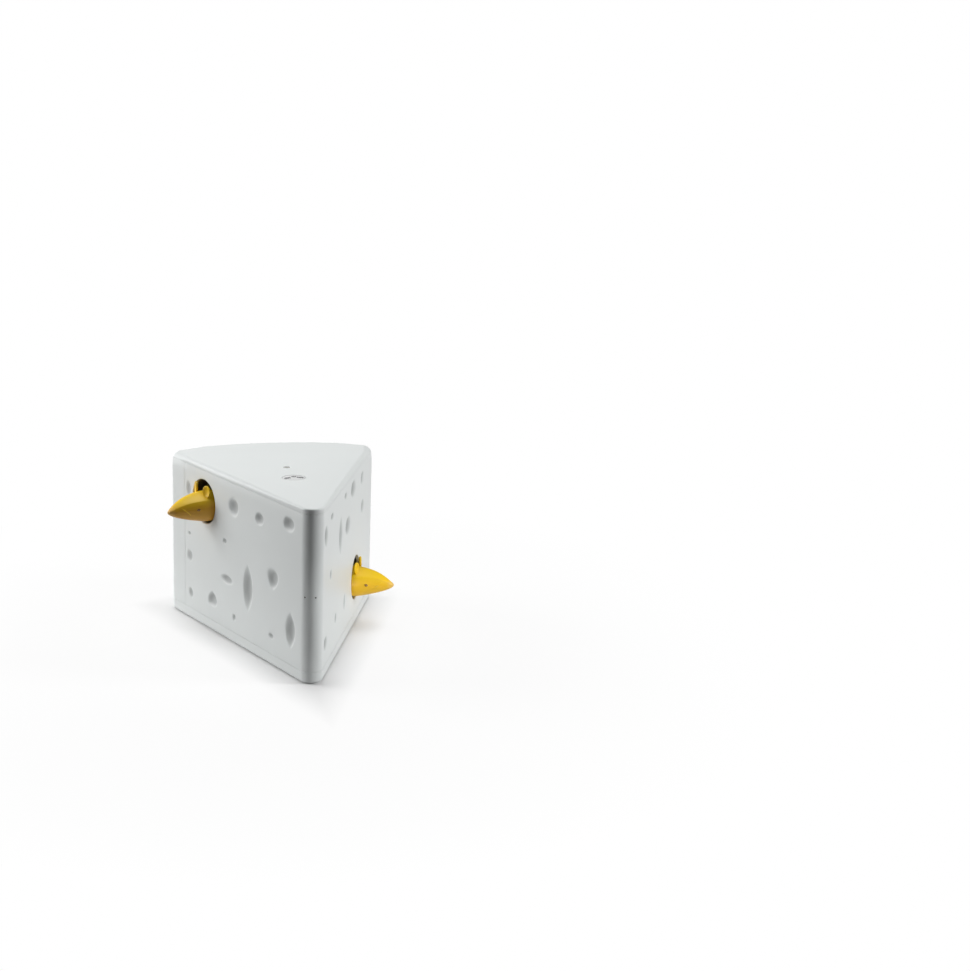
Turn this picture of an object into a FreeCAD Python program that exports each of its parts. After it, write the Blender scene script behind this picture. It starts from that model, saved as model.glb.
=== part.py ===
# Interactive cat toy box: a cheese-wedge housing with two mice that dart in and out.
# All sizes in millimetres, +Z up. Pieces are drawn from the wedge's apex, the line where the two
# side faces would meet, with the faces opening towards +Y. Every piece is then shifted alike, so
# that the origin lies under the middle of the toy's bounding box.
import FreeCAD, Part
import math
import os
import re
import Sketcher

Vector = FreeCAD.Vector
Rotation = FreeCAD.Rotation
Placement = FreeCAD.Placement
Z_AXIS = Vector(0, 0, 1)

# Driving sizes, one name and one number each
SIZES = {
    # Housing
    "total_height": 152, "wedge_angle": 45, "wedge_radius": 252, "nose_radius": 10.2,
    "corner_radius": 10, "shell_wall": 2.6, "base_seam": 10.4, "cover_depth": 5.1,
    "seam_gap": 0.3, "panel_reach": 221, "cover_round": 4.3, "cover_wall": 2.6,
    "lip_height": 3, "lip_wall": 1.6, "lip_gap": 0.25, "base_floor": 2.5, "base_round": 1.2,
    "tongue_reach": 6, "tongue_wall": 1.4, "tongue_root": 4, "tongue_clear": 1,
    # Cheese hollows, mouse holes and the two pin marks on the nose
    "scoop_depth": 2.6, "scoop_wall": 1.6, "mouse_hole": 40.4, "upper_reach": 186.4,
    "upper_drop": 33.8, "lower_reach": 169.4, "lower_axis": 45.3,
    "pin_radius": 0.8, "pin_depth": 1.2, "pin_height": 76, "pin_back": 43, "pin_front": 10,
    # Feet
    "foot_height": 1.2, "foot_recess": 1, "foot_radius": 7, "foot_gap": 0.3,
    "foot_nose": 66, "foot_side": 205, "foot_inset": 14, "foot_back": 234,
    # Posts, lugs and screws
    "post_radius": 4, "post_nose": 42, "post_side": 234, "post_inset": 9.2, "boss_wall": 0.5,
    "screw_radius": 1.5, "screw_fit": 0.05, "head_radius": 2.8, "head_height": 1.8,
    "screw_length": 14, "screw_sink": 0.4, "boss_rise": 5, "join": 0.5,
    "small_screw": 1.05, "small_head": 2.2, "small_head_height": 1.5, "small_bite": 5,
    # Batteries
    "cell_radius": 7.25, "cell_length": 49.5, "cell_pitch": 15, "cell_count": 4,
    "cell_tip": 1.2, "cell_tip_radius": 2.7, "battery_start": 150, "contact_depth": 4,
    "contact_sheet": 0.4, "contact_margin": 1.5, "spring_wire": 0.5, "spring_radius": 3.4,
    "spring_taper": 0.55, "spring_pitch": 0.65, "battery_wall": 1.8, "cell_gap": 0.4,
    "door_thick": 2, "door_gap": 0.3, "door_ledge": 3, "door_ear": 5.5, "door_ear_reach": 7,
    "door_screw_length": 8, "door_screw_sink": 0.2, "grip_width": 14, "grip_groove": 1,
    "grip_depth": 0.6, "grip_pitch": 2.2, "grip_start": 8,
    # Button, lamp and board
    "button_radius": 10, "button_reach": 118, "button_rise": 0.9, "button_gap": 0.25,
    "button_flange": 1.6, "button_edge": 0.3, "flange_gap": 0.1, "button_stem": 2,
    "stem_wall": 1.2, "lamp_radius": 3, "lamp_reach": 155, "lamp_fit": 0.05, "lamp_flange": 1,
    "diode_radius": 2.5, "diode_height": 4, "board_width": 40, "board_before": 26,
    "board_beyond": 9, "board_thick": 1.6, "board_drop": 13, "board_inset": 4,
    "switch_width": 6.2, "switch_height": 3.6, "switch_floor": 0.6, "plunger_radius": 1.7,
    "plunger_length": 2.6, "chip_length": 12, "chip_width": 8, "chip_height": 1.8,
    "chip_beyond": 14, "capacitor_radius": 3, "capacitor_height": 9, "capacitor_side": 11,
    "plug_length": 10, "plug_width": 6, "plug_side": 3,
    # Mouse
    "mouse_wide": 18, "mouse_tall": 13.9, "mouse_sag": 3.7, "mouse_proud": 36, "mouse_tail": 26,
    "nose_drop": 4.8, "nose_ball": 2.2, "ear_radius": 5, "ear_thick": 2.6, "ear_spread": 9.3,
    "ear_lift": 11.2, "ear_out": 3, "ear_turn": 18, "tail_screw": 2, "tail_screw_grip": 7,
    # Rack carriage
    "rack_module": 1, "rack_line": 4, "rack_top": 1.6, "rack_back": 5, "rack_first": 37,
    "rack_end": 101, "flange_half": 9, "flange_thick": 2.5, "mount_plate": 3, "mount_half": 9,
    "mount_rise": 6, "slide_gap": 0.2,
    # Drive frame
    "deck_drop": 13, "deck_thick": 3, "deck_corner": 2, "rail_wall": 2.5, "rail_extra": 2,
    "rail_lip": 2.4, "lip_reach": 3.2, "end_stop": 2.5, "frame_front": 71, "frame_rear": 144,
    "lug_radius": 4.2, "pillar_radius": 2.6, "axle_radius": 1.5, "axle_fit": 0.05,
    "axle_seat": 1, "gear_roof": 2, "gear_roof_rise": 12.3, "roof_corner": 4.5,
    # Gears
    "rack_gear_teeth": 16, "rack_gear_reach": 91, "wheel_teeth": 36, "wheel_module": 0.8,
    "wheel_thick": 3.2, "idler_teeth": 10, "idler_wheel_teeth": 40, "idler_module": 0.6,
    "idler_thick": 3, "idler_offset": 5, "motor_teeth": 10, "backlash": 0.16, "gear_gap": 0.4,
    "wheel_hub": 4, "idler_hub": 3, "mesh_over": 0.2,
    # Motor
    "motor_radius": 7.75, "motor_flat": 12, "motor_length": 20, "motor_nose": 1.2,
    "motor_nose_radius": 3, "shaft_radius": 1, "shaft_start": 2, "motor_offset": 12,
    "cradle_wall": 1.6, "cradle_gap": 0.1, "cradle_height": 5,
    # Tower that carries the upper drive
    "tower_thick": 2.5, "leg_radius": 4, "leg_foot": 5, "deck_rim": 1, "tower_lug": 8,
}

doc = FreeCAD.newDocument("CatToyBox")
sheet = doc.addObject("Spreadsheet::Sheet", "Sizes")
for row, (alias, value) in enumerate(SIZES.items(), start=1):
    sheet.set("A%d" % row, alias)
    sheet.set("B%d" % row, str(value))
    sheet.setAlias("B%d" % row, alias)
doc.recompute()


class Sheet:
    """Numbers read back from the sheet, as S.name."""

    def __getattr__(self, alias):
        return float(sheet.get(alias))


S = Sheet()
COVER_SEAM = "(total_height - cover_depth)"
UPPER_AXIS = S.total_height - S.upper_drop
BOARD_START = "(button_reach - board_before)"
BOARD_LENGTH = "(lamp_reach + board_beyond - button_reach + board_before)"
HALF = S.wedge_angle / 2
SIN = math.sin(math.radians(HALF))
COS = math.cos(math.radians(HALF))
SHIFT = Vector((S.upper_reach - S.lower_reach) * SIN / 2,
               -(S.wedge_radius + S.nose_radius * (1 / SIN - 1)) / 2, 0)
pieces = {}


def bind(item, **formulas):
    """Bind properties to formulas written in plain size names; a double underscore is a dot."""
    for path, text in formulas.items():
        words = re.sub(r"[A-Za-z_][A-Za-z_0-9]*",
                       lambda m: "Sizes." + m.group(0) if m.group(0) in SIZES else m.group(0),
                       str(text))
        item.setExpression(path.replace("__", "."), words)
    return item


def place(item, at, turn=None):
    """Bind the three coordinates of an item's Placement, after an optional fixed turn."""
    if turn:
        item.Placement = Placement(Vector(), turn)
    for axis, text in zip("xyz", at):
        bind(item, **{"Placement__Base__" + axis: text})
    return item


def box(length, width, height, at, turn=None):
    item = doc.addObject("Part::Box", "Block")
    bind(item, Length=length, Width=width, Height=height)
    return place(item, at, turn)


TURNS = {"z": None, "x": Rotation(Vector(0, 1, 0), 90), "y": Rotation(Vector(1, 0, 0), -90)}


def rod(radius, height, at, along="z"):
    item = doc.addObject("Part::Cylinder", "Rod")
    bind(item, Radius=radius, Height=height)
    return place(item, at, TURNS[along])


def cone(radius, end_radius, height, at, along="z"):
    item = doc.addObject("Part::Cone", "Cone")
    bind(item, Radius1=radius, Radius2=end_radius, Height=height)
    return place(item, at, TURNS[along])


def ball(radius, at):
    item = doc.addObject("Part::Sphere", "Ball")
    bind(item, Radius=radius)
    return place(item, at)


def fuse(items):
    if len(items) == 1:
        return items[0]
    item = doc.addObject("Part::MultiFuse", "Joined")
    item.Shapes = items
    return item


def cut(base, tools):
    item = doc.addObject("Part::Cut", "Trimmed")
    item.Base = base
    item.Tool = fuse(tools)
    return item


def common(items):
    item = doc.addObject("Part::MultiCommon", "Shared")
    item.Shapes = items
    return item


def group(items):
    item = doc.addObject("Part::Compound", "Group")
    item.Links = items
    return item


def piece(label, item, seat=None):
    """Name a finished sub-part and set its place in the toy."""
    if any("Placement" in path for path, text in item.ExpressionEngine):
        item = group([item])
    item.Label = label
    where = Placement(SHIFT, Rotation())
    if seat:
        where = where.multiply(seat)
    item.Placement = where
    pieces[label] = item
    return item


# PartDesign helpers

def plane(body, role):
    return next(part for part in body.Origin.OriginFeatures if part.Role == role)


def sketch(body, role="XY_Plane", lift="0"):
    item = body.newObject("Sketcher::SketchObject", "Profile")
    item.AttachmentSupport = [(plane(body, role), "")]
    item.MapMode = "FlatFace"
    bind(item, AttachmentOffset__Base__z=lift)
    return item


def pad(body, profile, length):
    item = body.newObject("PartDesign::Pad", "Pad")
    item.Profile = profile
    bind(item, Length=length)
    return item


def pocket(body, profile, length, up=False):
    """Cut from the profile downwards, or upwards; the solid must lose volume."""
    doc.recompute()
    before = body.Shape.Volume
    item = body.newObject("PartDesign::Pocket", "Pocket")
    item.Profile = profile
    item.Reversed = up
    bind(item, Length=length)
    doc.recompute()
    if not body.Shape.Volume < before - 1e-3:
        raise ValueError("a pocket in %s cut nothing" % body.Label)
    return item


def new_body():
    return doc.addObject("PartDesign::Body", "Body")


def round_face_edges(body, feature, height, radius):
    """Round every edge of the level face at a height."""
    doc.recompute()
    names = ["Face%d" % (i + 1) for i, face in enumerate(feature.Shape.Faces)
             if abs(face.BoundBox.ZMin - height) < 1e-4 and abs(face.BoundBox.ZMax - height) < 1e-4]
    item = body.newObject("PartDesign::Fillet", "Fillet")
    item.Base = (feature, names)
    bind(item, Radius=radius)
    return item


def wedge_outline(profile, inset):
    """Draw the wedge's plan, set in from the outer faces: two lines, a nose, two corners, a back."""
    drop = sum(getattr(S, name) for name in inset)
    nose, corner, back = S.nose_radius - drop, S.corner_radius - drop, S.wedge_radius - drop
    reach = math.sqrt((S.wedge_radius - S.corner_radius) ** 2 - S.corner_radius ** 2)
    nose_at = Vector(0, S.nose_radius / SIN, 0)
    corner_at = Vector(reach * SIN - S.corner_radius * COS, reach * COS + S.corner_radius * SIN, 0)
    face_turn = math.radians(-HALF)
    corner_turn = math.atan2(corner_at.y, corner_at.x)
    left_at = Vector(-corner_at.x, corner_at.y, 0)

    def on(centre, radius, angle):
        return centre + Vector(radius * math.cos(angle), radius * math.sin(angle), 0)

    def arc(centre, radius, start, end):
        return Part.ArcOfCircle(Part.Circle(centre, Z_AXIS, radius), start, end)

    shapes = [
        arc(nose_at, nose, math.pi - face_turn, 2 * math.pi + face_turn),
        Part.LineSegment(on(nose_at, nose, face_turn), on(corner_at, corner, face_turn)),
        arc(corner_at, corner, face_turn, corner_turn),
        arc(Vector(), back, corner_turn, math.pi - corner_turn),
        arc(left_at, corner, math.pi - corner_turn, math.pi - face_turn),
        Part.LineSegment(on(left_at, corner, math.pi - face_turn),
                         on(nose_at, nose, math.pi - face_turn)),
    ]
    profile.addGeometry(shapes, False)
    joints = [Sketcher.Constraint("Tangent", i, 2, (i + 1) % 6, 1) for i in range(6)]
    profile.addConstraint(joints)
    less = "".join(" - " + name for name in inset)
    for index, kind, point, text in (
            (0, "Radius", None, "nose_radius" + less), (2, "Radius", None, "corner_radius" + less),
            (3, "Radius", None, "wedge_radius" + less), (4, "Radius", None, "corner_radius" + less),
            (0, "DistanceY", 3, "nose_radius / sin(wedge_angle / 2)")):
        if kind == "Radius":
            radius = shapes[index].Radius
            number = profile.addConstraint(Sketcher.Constraint("Radius", index, radius))
        else:
            number = profile.addConstraint(
                Sketcher.Constraint("DistanceY", -1, 1, index, point, nose_at.y))
        bind(profile, **{"Constraints[%d]" % number: text})
    profile.addConstraint(Sketcher.Constraint("PointOnObject", 0, 3, -2))
    profile.addConstraint(Sketcher.Constraint("Coincident", 3, 3, -1, 1))
    profile.addConstraint(Sketcher.Constraint("Angle", -2, 1, 5, 2, math.radians(HALF)))
    return profile


def disc_hull(profile, centres, radius):
    """Draw the tight band round a ring of equal circles, listed anticlockwise."""
    count = len(centres)
    shapes = []
    for i, here in enumerate(centres):
        before, after = centres[i - 1], centres[(i + 1) % count]
        start = math.atan2(here.y - before.y, here.x - before.x) - math.pi / 2
        end = math.atan2(after.y - here.y, after.x - here.x) - math.pi / 2
        while end < start:
            end += 2 * math.pi
        shapes.append(Part.ArcOfCircle(Part.Circle(here, Z_AXIS, radius), start, end))
        out = Vector(math.cos(end), math.sin(end), 0) * radius
        shapes.append(Part.LineSegment(here + out, after + out))
    profile.addGeometry(shapes, False)
    profile.addConstraint([Sketcher.Constraint("Coincident", i, 2, (i + 1) % (2 * count), 1)
                           for i in range(2 * count)])
    return profile


def hull_plate(centres, radius, lift, thick):
    body = new_body()
    pad(body, disc_hull(sketch(body, lift=lift), centres, radius), thick)
    return body


def face_point(side, reach, depth):
    """A plan point by its distance along a side face from the apex and its depth behind it."""
    return Vector(side * (reach * SIN - depth * COS), reach * COS + depth * SIN, 0)


def xy(point):
    return "%.6f" % point.x, "%.6f" % point.y


# Housing

POSTS = [Vector(0, S.post_nose, 0), face_point(-1, S.post_side, S.post_inset),
         face_point(1, S.post_side, S.post_inset)]
FEET = [Vector(0, S.foot_nose, 0), face_point(-1, S.foot_side, S.foot_inset),
        face_point(1, S.foot_side, S.foot_inset), Vector(0, S.foot_back, 0)]
WALL = ["shell_wall"]
LIP = WALL + ["lip_gap"]
LIP_IN = LIP + ["lip_wall"]
TONGUE_IN = LIP + ["tongue_wall"]

# Hollows in the cheese: reach from the apex, height, width, height of the mouth, tilt in degrees,
# and how pointed the upper and lower ends are
LEFT_HOLLOWS = [
    (214, 123.8, 9, 17, 0, 0), (133.9, 125.4, 17, 17, 20, 0), (90.7, 125.8, 14, 11.5, 0, 0),
    (44, 133, 17, 13, 0, 0), (213, 82, 5, 4, 0, 0), (149.5, 91, 7, 5.6, 0, 0),
    (212.5, 60.9, 10.5, 12, 0, 0), (145.8, 56.4, 21, 9, 0, 0), (109.6, 58.5, 16, 43, 0, 0.75),
    (68.6, 78.6, 17, 18.5, 0, 0), (171.4, 30.5, 15.5, 14.5, 0, 0), (211, 25.6, 8, 11, 15, 0),
    (133.3, 24.7, 5.5, 6.8, 0, 0), (71.1, 26.7, 8, 5.6, 0, 0), (40.5, 41, 15, 32, 0, 0.7),
]
RIGHT_HOLLOWS = [
    (194.3, 133, 13, 13, 0, 0), (151.2, 134, 22, 16, 0, 0), (115.6, 137, 12, 6, 0, 0),
    (128.6, 106.2, 23, 17, 0, 0), (198.3, 105.3, 13, 14, 0, 0), (57, 134.7, 12, 6.5, 0, 0),
    (33, 124, 13, 19, 0, 0), (95.9, 106.1, 14, 37, 0, 0.75), (54.6, 83.9, 8, 10, 0, 0),
    (118.1, 38.2, 9, 17.5, 0, 0.3), (78.3, 37.1, 8.6, 10.4, 0, 0), (36, 29, 13, 13, 0, 0),
]


def seat(side, reach, height, depth=0):
    """A frame on a side face: x points out of the face, y along it and z up."""
    turn = Rotation(Z_AXIS, math.degrees(math.atan2(-SIN, side * COS)))
    return Placement(face_point(side, reach, depth) + Vector(0, 0, height), turn)


def scoop_depth(reach, width, tall):
    """Large hollows have the full depth and small ones a fifth of their smaller side; those in
    front of a tongue are shallow."""
    deepest = S.scoop_depth
    if reach + width / 2 > S.panel_reach - 2 * S.tongue_reach:
        deepest = S.shell_wall - S.scoop_wall
    return min(deepest, 0.2 * min(width, tall))


def oval(half_width, half_tall, bulge, here):
    item = doc.addObject("Part::Ellipsoid", "Oval")
    item.Radius1 = half_tall
    item.Radius2 = bulge
    item.Radius3 = half_width
    item.Placement = here
    return item


def hollow(side, reach, height, width, tall, tilt, point, wall=0):
    """A scoop that leaves an oval mouth in a side face, or two ovals' overlap where it is pointed;
    with a wall it is the thicker body that stands behind the scoop."""
    depth = scoop_depth(reach, width, tall)
    bulge = 1.2 * depth
    share = math.sqrt(1 - ((bulge - depth) / bulge) ** 2)
    turn = Placement(Vector(), Rotation(Vector(1, 0, 0), tilt))
    here = seat(side, reach, height, depth - bulge).multiply(turn)
    half_width, half_tall = width / 2 / share + wall, tall / 2 / share + wall
    if not point:
        return oval(half_width, half_tall, bulge + wall, here)
    shift = point * half_width
    half_across = half_width + shift
    narrowing = math.sqrt(1 - (shift / half_across) ** 2)
    return common([oval(half_across, half_tall / narrowing, (bulge + wall) / narrowing,
                        here.multiply(Placement(Vector(0, way * shift, 0), Rotation())))
                   for way in (-1, 1)])


def backed(row):
    """Whether a hollow is too deep for the plain wall."""
    return scoop_depth(row[0], row[2], row[3]) > S.shell_wall - S.scoop_wall


def mouse_bore(side, reach, height):
    """The round hole that a mouse comes out of."""
    item = doc.addObject("Part::Cylinder", "Bore")
    bind(item, Radius="mouse_hole / 2", Height="4 * shell_wall")
    here = seat(side, reach, height, 2 * S.shell_wall)
    item.Placement = here.multiply(Placement(Vector(), TURNS["x"]))
    return item


def cross_cut(body, near, far):
    """Cut away what lies between two distances from the apex, measured straight back."""
    profile = sketch(body, lift="total_height")
    corners = [Vector(-S.wedge_radius, near, 0), Vector(S.wedge_radius, near, 0),
               Vector(S.wedge_radius, far, 0), Vector(-S.wedge_radius, far, 0)]
    profile.addGeometry([Part.LineSegment(corners[i], corners[(i + 1) % 4]) for i in range(4)], False)
    pocket(body, profile, "2 * total_height")


def wall_ring(outer, inner, low, high, front=None, back=None):
    """The band between two insets of the wedge's outline and between two heights, cut off in
    front of one distance from the apex and behind another."""
    body = new_body()
    pad(body, wedge_outline(sketch(body, lift=low), outer), "%s - (%s)" % (high, low))
    pocket(body, wedge_outline(sketch(body, lift="total_height"), inner), "2 * total_height")
    if front is not None:
        cross_cut(body, -S.wedge_radius, front)
    if back is not None:
        cross_cut(body, back, 2 * S.wedge_radius)
    return body


SHELL_LOW = "base_seam + seam_gap / 2"
SHELL_HIGH = COVER_SEAM + " - seam_gap / 2"
SEAM = S.panel_reach * COS


def nose_pins():
    """Two small blind marks on the nose, one each side of the camera's side of it."""
    centre = Vector(0, S.nose_radius / SIN, 0)
    marks = []
    for turn in (-90 - S.pin_back, -90 + S.pin_front):
        item = doc.addObject("Part::Cylinder", "Pin")
        bind(item, Radius="pin_radius", Height="2 * pin_depth")
        way = Rotation(Z_AXIS, turn)
        start = centre + way.multVec(Vector(S.nose_radius - S.pin_depth, 0, S.pin_height))
        item.Placement = Placement(start, way.multiply(TURNS["x"]))
        marks.append(item)
    return marks


def front_shell():
    rows = [(-1,) + row for row in LEFT_HOLLOWS] + [(1,) + row for row in RIGHT_HOLLOWS]
    ring = wall_ring([], WALL, SHELL_LOW, SHELL_HIGH, back=SEAM - S.seam_gap / 2)
    block = new_body()
    pad(block, wedge_outline(sketch(block, lift=SHELL_LOW), []),
        "%s - (%s)" % (SHELL_HIGH, SHELL_LOW))
    backs = [hollow(*row, wall=S.scoop_wall) for row in rows if backed(row[1:])]
    solid = fuse([ring] + [common([block, item]) for item in backs])
    tools = [hollow(*row) for row in rows] + nose_pins()
    tools += [mouse_bore(-1, S.upper_reach, UPPER_AXIS), mouse_bore(1, S.lower_reach, S.lower_axis)]
    piece("front_shell", cut(solid, tools))


def rear_shell():
    """The curved back, with a tongue each side that lies behind the front shell's edge."""
    low = "base_seam + lip_height + tongue_clear"
    high = COVER_SEAM + " - lip_height - tongue_clear"
    ring = wall_ring([], WALL, SHELL_LOW, SHELL_HIGH, front=SEAM + S.seam_gap / 2)
    root = wall_ring([], TONGUE_IN, low, high, SEAM + S.seam_gap / 2, SEAM + S.tongue_root)
    tongue = wall_ring(LIP, TONGUE_IN, low, high, SEAM - S.tongue_reach, SEAM + S.tongue_root)
    piece("rear_shell", fuse([ring, root, tongue]))


def top_cover():
    body = new_body()
    slab = pad(body, wedge_outline(sketch(body, lift=COVER_SEAM + " + seam_gap / 2"), []),
               "cover_depth - seam_gap / 2")
    round_face_edges(body, slab, S.total_height, "cover_round")
    lip_low = COVER_SEAM + " - lip_height"
    pad(body, wedge_outline(sketch(body, lift=lip_low), LIP), "lip_height + seam_gap")
    pocket(body, wedge_outline(sketch(body, lift=lip_low), LIP_IN),
           "cover_depth + lip_height - cover_wall", up=True)
    under = "total_height - cover_wall"
    low = FLOOR + " + boss_rise"
    posts = [rod("post_radius", under + " + join - (" + low + ")", xy(at) + (low,)) for at in POSTS]
    posts += [rod("post_radius - 1", "board_drop - cover_wall + join", xy(at) + (ON_BOARD,))
              for at in board_points()]
    tools = [rod("screw_radius + screw_fit", "screw_length", xy(at) + (low,)) for at in POSTS]
    tools += [rod("screw_radius + screw_fit", "board_drop - cover_wall - 1", xy(at) + (ON_BOARD,))
              for at in board_points()]
    tools.append(rod("button_radius + button_gap", "3 * cover_wall",
                     ("0", "button_reach", "total_height - 2 * cover_wall")))
    tools.append(rod("lamp_radius + lamp_fit", "3 * cover_wall",
                     ("0", "lamp_reach", "total_height - 2 * cover_wall")))
    piece("top_cover", cut(fuse([body] + posts), tools))


def board_points():
    """Screw places of the control board, seen from above."""
    half = S.board_width / 2 - S.board_inset
    ends = (S.button_reach - S.board_before + S.board_inset,
            S.lamp_reach + S.board_beyond - S.board_inset)
    return [Vector(side * half, end, 0) for side in (-1, 1) for end in ends]


ON_BOARD = "(total_height - board_drop)"
UNDER_BOARD = "(total_height - board_drop - board_thick)"
BATTERY_HALF = "(cell_pitch * cell_count / 2 + cell_gap)"
BATTERY_DEPTH = "(cell_length + 2 * contact_depth)"
CELL_AXIS = "(foot_height + door_thick + cell_gap + cell_radius)"
BATTERY_TOP = "(foot_height + door_thick + 2 * cell_gap + 2 * cell_radius)"
FLOOR = "(foot_height + base_floor)"
DOOR_SCREW = Vector(0, S.battery_start - S.door_ear_reach, 0)


def bored(radius, height, at, low):
    """A screw hole, with its running fit, upwards from a height."""
    return rod(radius + " + screw_fit", height, xy(at) + (low,))


def base_tray():
    """The floor: a lipped rim, the battery box, and bosses for the posts, drive, tower and door."""
    body = new_body()
    slab = pad(body, wedge_outline(sketch(body, lift="foot_height"), []),
               "base_seam - seam_gap / 2 - foot_height")
    round_face_edges(body, slab, S.foot_height, "base_round")
    pad(body, wedge_outline(sketch(body, lift="base_seam - seam_gap"), LIP), "lip_height + seam_gap")
    pocket(body, wedge_outline(sketch(body, lift="base_seam + lip_height"), LIP_IN),
           "base_seam + lip_height - foot_height - base_floor")
    half = BATTERY_HALF + " + battery_wall"
    solids = [body, box("2 * (%s)" % half, BATTERY_DEPTH + " + 2 * battery_wall",
                        BATTERY_TOP + " + battery_wall - foot_height - base_floor / 2",
                        ("-(%s)" % half, "battery_start - battery_wall",
                         "foot_height + base_floor / 2"))]
    in_floor = "(foot_height + join)"
    for at in POSTS + LEGS + [DOOR_SCREW]:
        wall = "leg_foot" if at in LEGS else "post_radius + boss_wall"
        solids.append(rod(wall, "base_floor + boss_rise - join", xy(at) + (in_floor,)))
    lug_low = "lower_axis - deck_drop - deck_thick"
    solids += [rod("lug_radius", lug_low + " - " + in_floor, xy(at) + (in_floor,))
               for at in lug_points(1)]
    recess = "foot_height + door_thick + door_gap / 2"
    tools = [box("2 * " + BATTERY_HALF, BATTERY_DEPTH, BATTERY_TOP,
                 ("-" + BATTERY_HALF, "battery_start", "0")),
             box("2 * (%s + door_ledge)" % BATTERY_HALF, BATTERY_DEPTH + " + 2 * door_ledge",
                 recess, ("-(%s + door_ledge)" % BATTERY_HALF, "battery_start - door_ledge", "0")),
             rod("door_ear + door_gap", recess, xy(DOOR_SCREW) + ("0",)),
             box("2 * (door_ear + door_gap)", "door_ear_reach", recess,
                 ("-(door_ear + door_gap)",) + ("battery_start - door_ear_reach", "0")),
             rod("screw_radius + door_gap", FLOOR + " + boss_rise", xy(DOOR_SCREW) + ("0",))]
    tools += [rod("foot_radius + foot_gap / 2", "foot_height + foot_recess", xy(at) + ("0",))
              for at in FEET]
    for at in POSTS + LEGS:
        tools.append(bored("screw_radius", FLOOR + " + boss_rise", at, "0"))
        tools.append(rod("head_radius + screw_sink", "foot_height + head_height + screw_sink",
                         xy(at) + ("0",)))
    tools += [bored("screw_radius", "screw_length", at, lug_low + " - screw_length + 2 * lip_height")
              for at in lug_points(1)]
    piece("base_tray", cut(fuse(solids), tools))


def screw(at, low, length):
    """A pan-head screw, head down, from a height."""
    return fuse([rod("head_radius", "head_height", xy(at) + (low,)),
                 rod("screw_radius", length, xy(at) + (low,))])


def feet_and_screws():
    piece("rubber_feet", group([rod("foot_radius", "foot_height + foot_recess", xy(at) + ("0",))
                                for at in FEET]))
    low = "foot_height + screw_sink"
    piece("housing_screws", group([screw(at, low, "screw_length") for at in POSTS]))
    piece("tower_screws", group([screw(at, low, "screw_length") for at in LEGS]))


# Power

def torus(radius, wire, at):
    item = doc.addObject("Part::Torus", "Turn")
    bind(item, Radius1=radius, Radius2=wire)
    return place(item, at, TURNS["y"])


def battery_parts():
    """Four cells side by side, turn about, with a spring at each flat end and a cap at each tip."""
    cells = []
    contacts = []
    near = "battery_start"
    far = "(battery_start + 2 * contact_depth + cell_length)"
    cell_start = "(battery_start + contact_depth)"
    for i in range(int(S.cell_count)):
        across = "(%d + 0.5 - cell_count / 2) * cell_pitch" % i
        tip_first = i % 2
        body_start = cell_start + (" + cell_tip" if tip_first else "")
        cells.append(fuse([
            rod("cell_radius", "cell_length - cell_tip", (across, body_start, CELL_AXIS), "y"),
            rod("cell_tip_radius", "cell_length", (across, cell_start, CELL_AXIS), "y")]))
        for end, sheet_at, spring in ((near, near, not tip_first),
                                      (far, far + " - contact_sheet", tip_first)):
            way = "+" if end == near else "-"
            solids = [box("cell_pitch - 2 * contact_margin", "contact_sheet",
                          "2 * (cell_radius - contact_margin)",
                          (across + " - cell_pitch / 2 + contact_margin", sheet_at,
                           CELL_AXIS + " - cell_radius + contact_margin"))]
            if spring:
                for turn in range(5):
                    solids.append(torus(
                        "spring_radius - %d * spring_taper" % turn, "spring_wire",
                        (across, "%s %s (contact_sheet + spring_wire / 2 + %d * spring_pitch)"
                         % (end, way, turn), CELL_AXIS)))
            else:
                start = end if end == near else end + " - contact_depth"
                solids.append(rod("cell_tip_radius", "contact_depth", (across, start, CELL_AXIS), "y"))
            contacts.append(fuse(solids))
    piece("battery_cells", group(cells))
    piece("battery_contacts", group(contacts))


def battery_door():
    """The lid under the cells, with an ear for its screw and three grip grooves."""
    half = "(%s + door_ledge - door_gap)" % BATTERY_HALF
    depth = "(%s + 2 * door_ledge - 2 * door_gap)" % BATTERY_DEPTH
    plate = box("2 * " + half, depth, "door_thick",
                ("-" + half, "battery_start - door_ledge + door_gap", "foot_height"))
    ear = [rod("door_ear", "door_thick", xy(DOOR_SCREW) + ("foot_height",)),
           box("2 * door_ear", "door_ear_reach", "door_thick",
               ("-door_ear", "battery_start - door_ear_reach", "foot_height"))]
    grooves = [box("grip_width", "grip_groove", "2 * grip_depth",
                   ("-grip_width / 2", "battery_start + grip_start + %d * grip_pitch" % i,
                    "foot_height - grip_depth")) for i in range(3)]
    sunk = "foot_height + door_screw_sink"
    hole = [bored("screw_radius", "2 * door_thick", DOOR_SCREW, "0"),
            cone("head_radius + screw_fit", "screw_radius + screw_fit", "head_radius - screw_radius",
                 xy(DOOR_SCREW) + (sunk,)),
            rod("head_radius + screw_fit", sunk, xy(DOOR_SCREW) + ("0",))]
    piece("battery_door", cut(fuse([plate] + ear), grooves + hole))
    piece("door_screw", fuse([
        cone("head_radius", "screw_radius", "head_radius - screw_radius", xy(DOOR_SCREW) + (sunk,)),
        rod("screw_radius", "door_screw_length", xy(DOOR_SCREW) + (sunk,))]))


# Button, lamp and board

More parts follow.
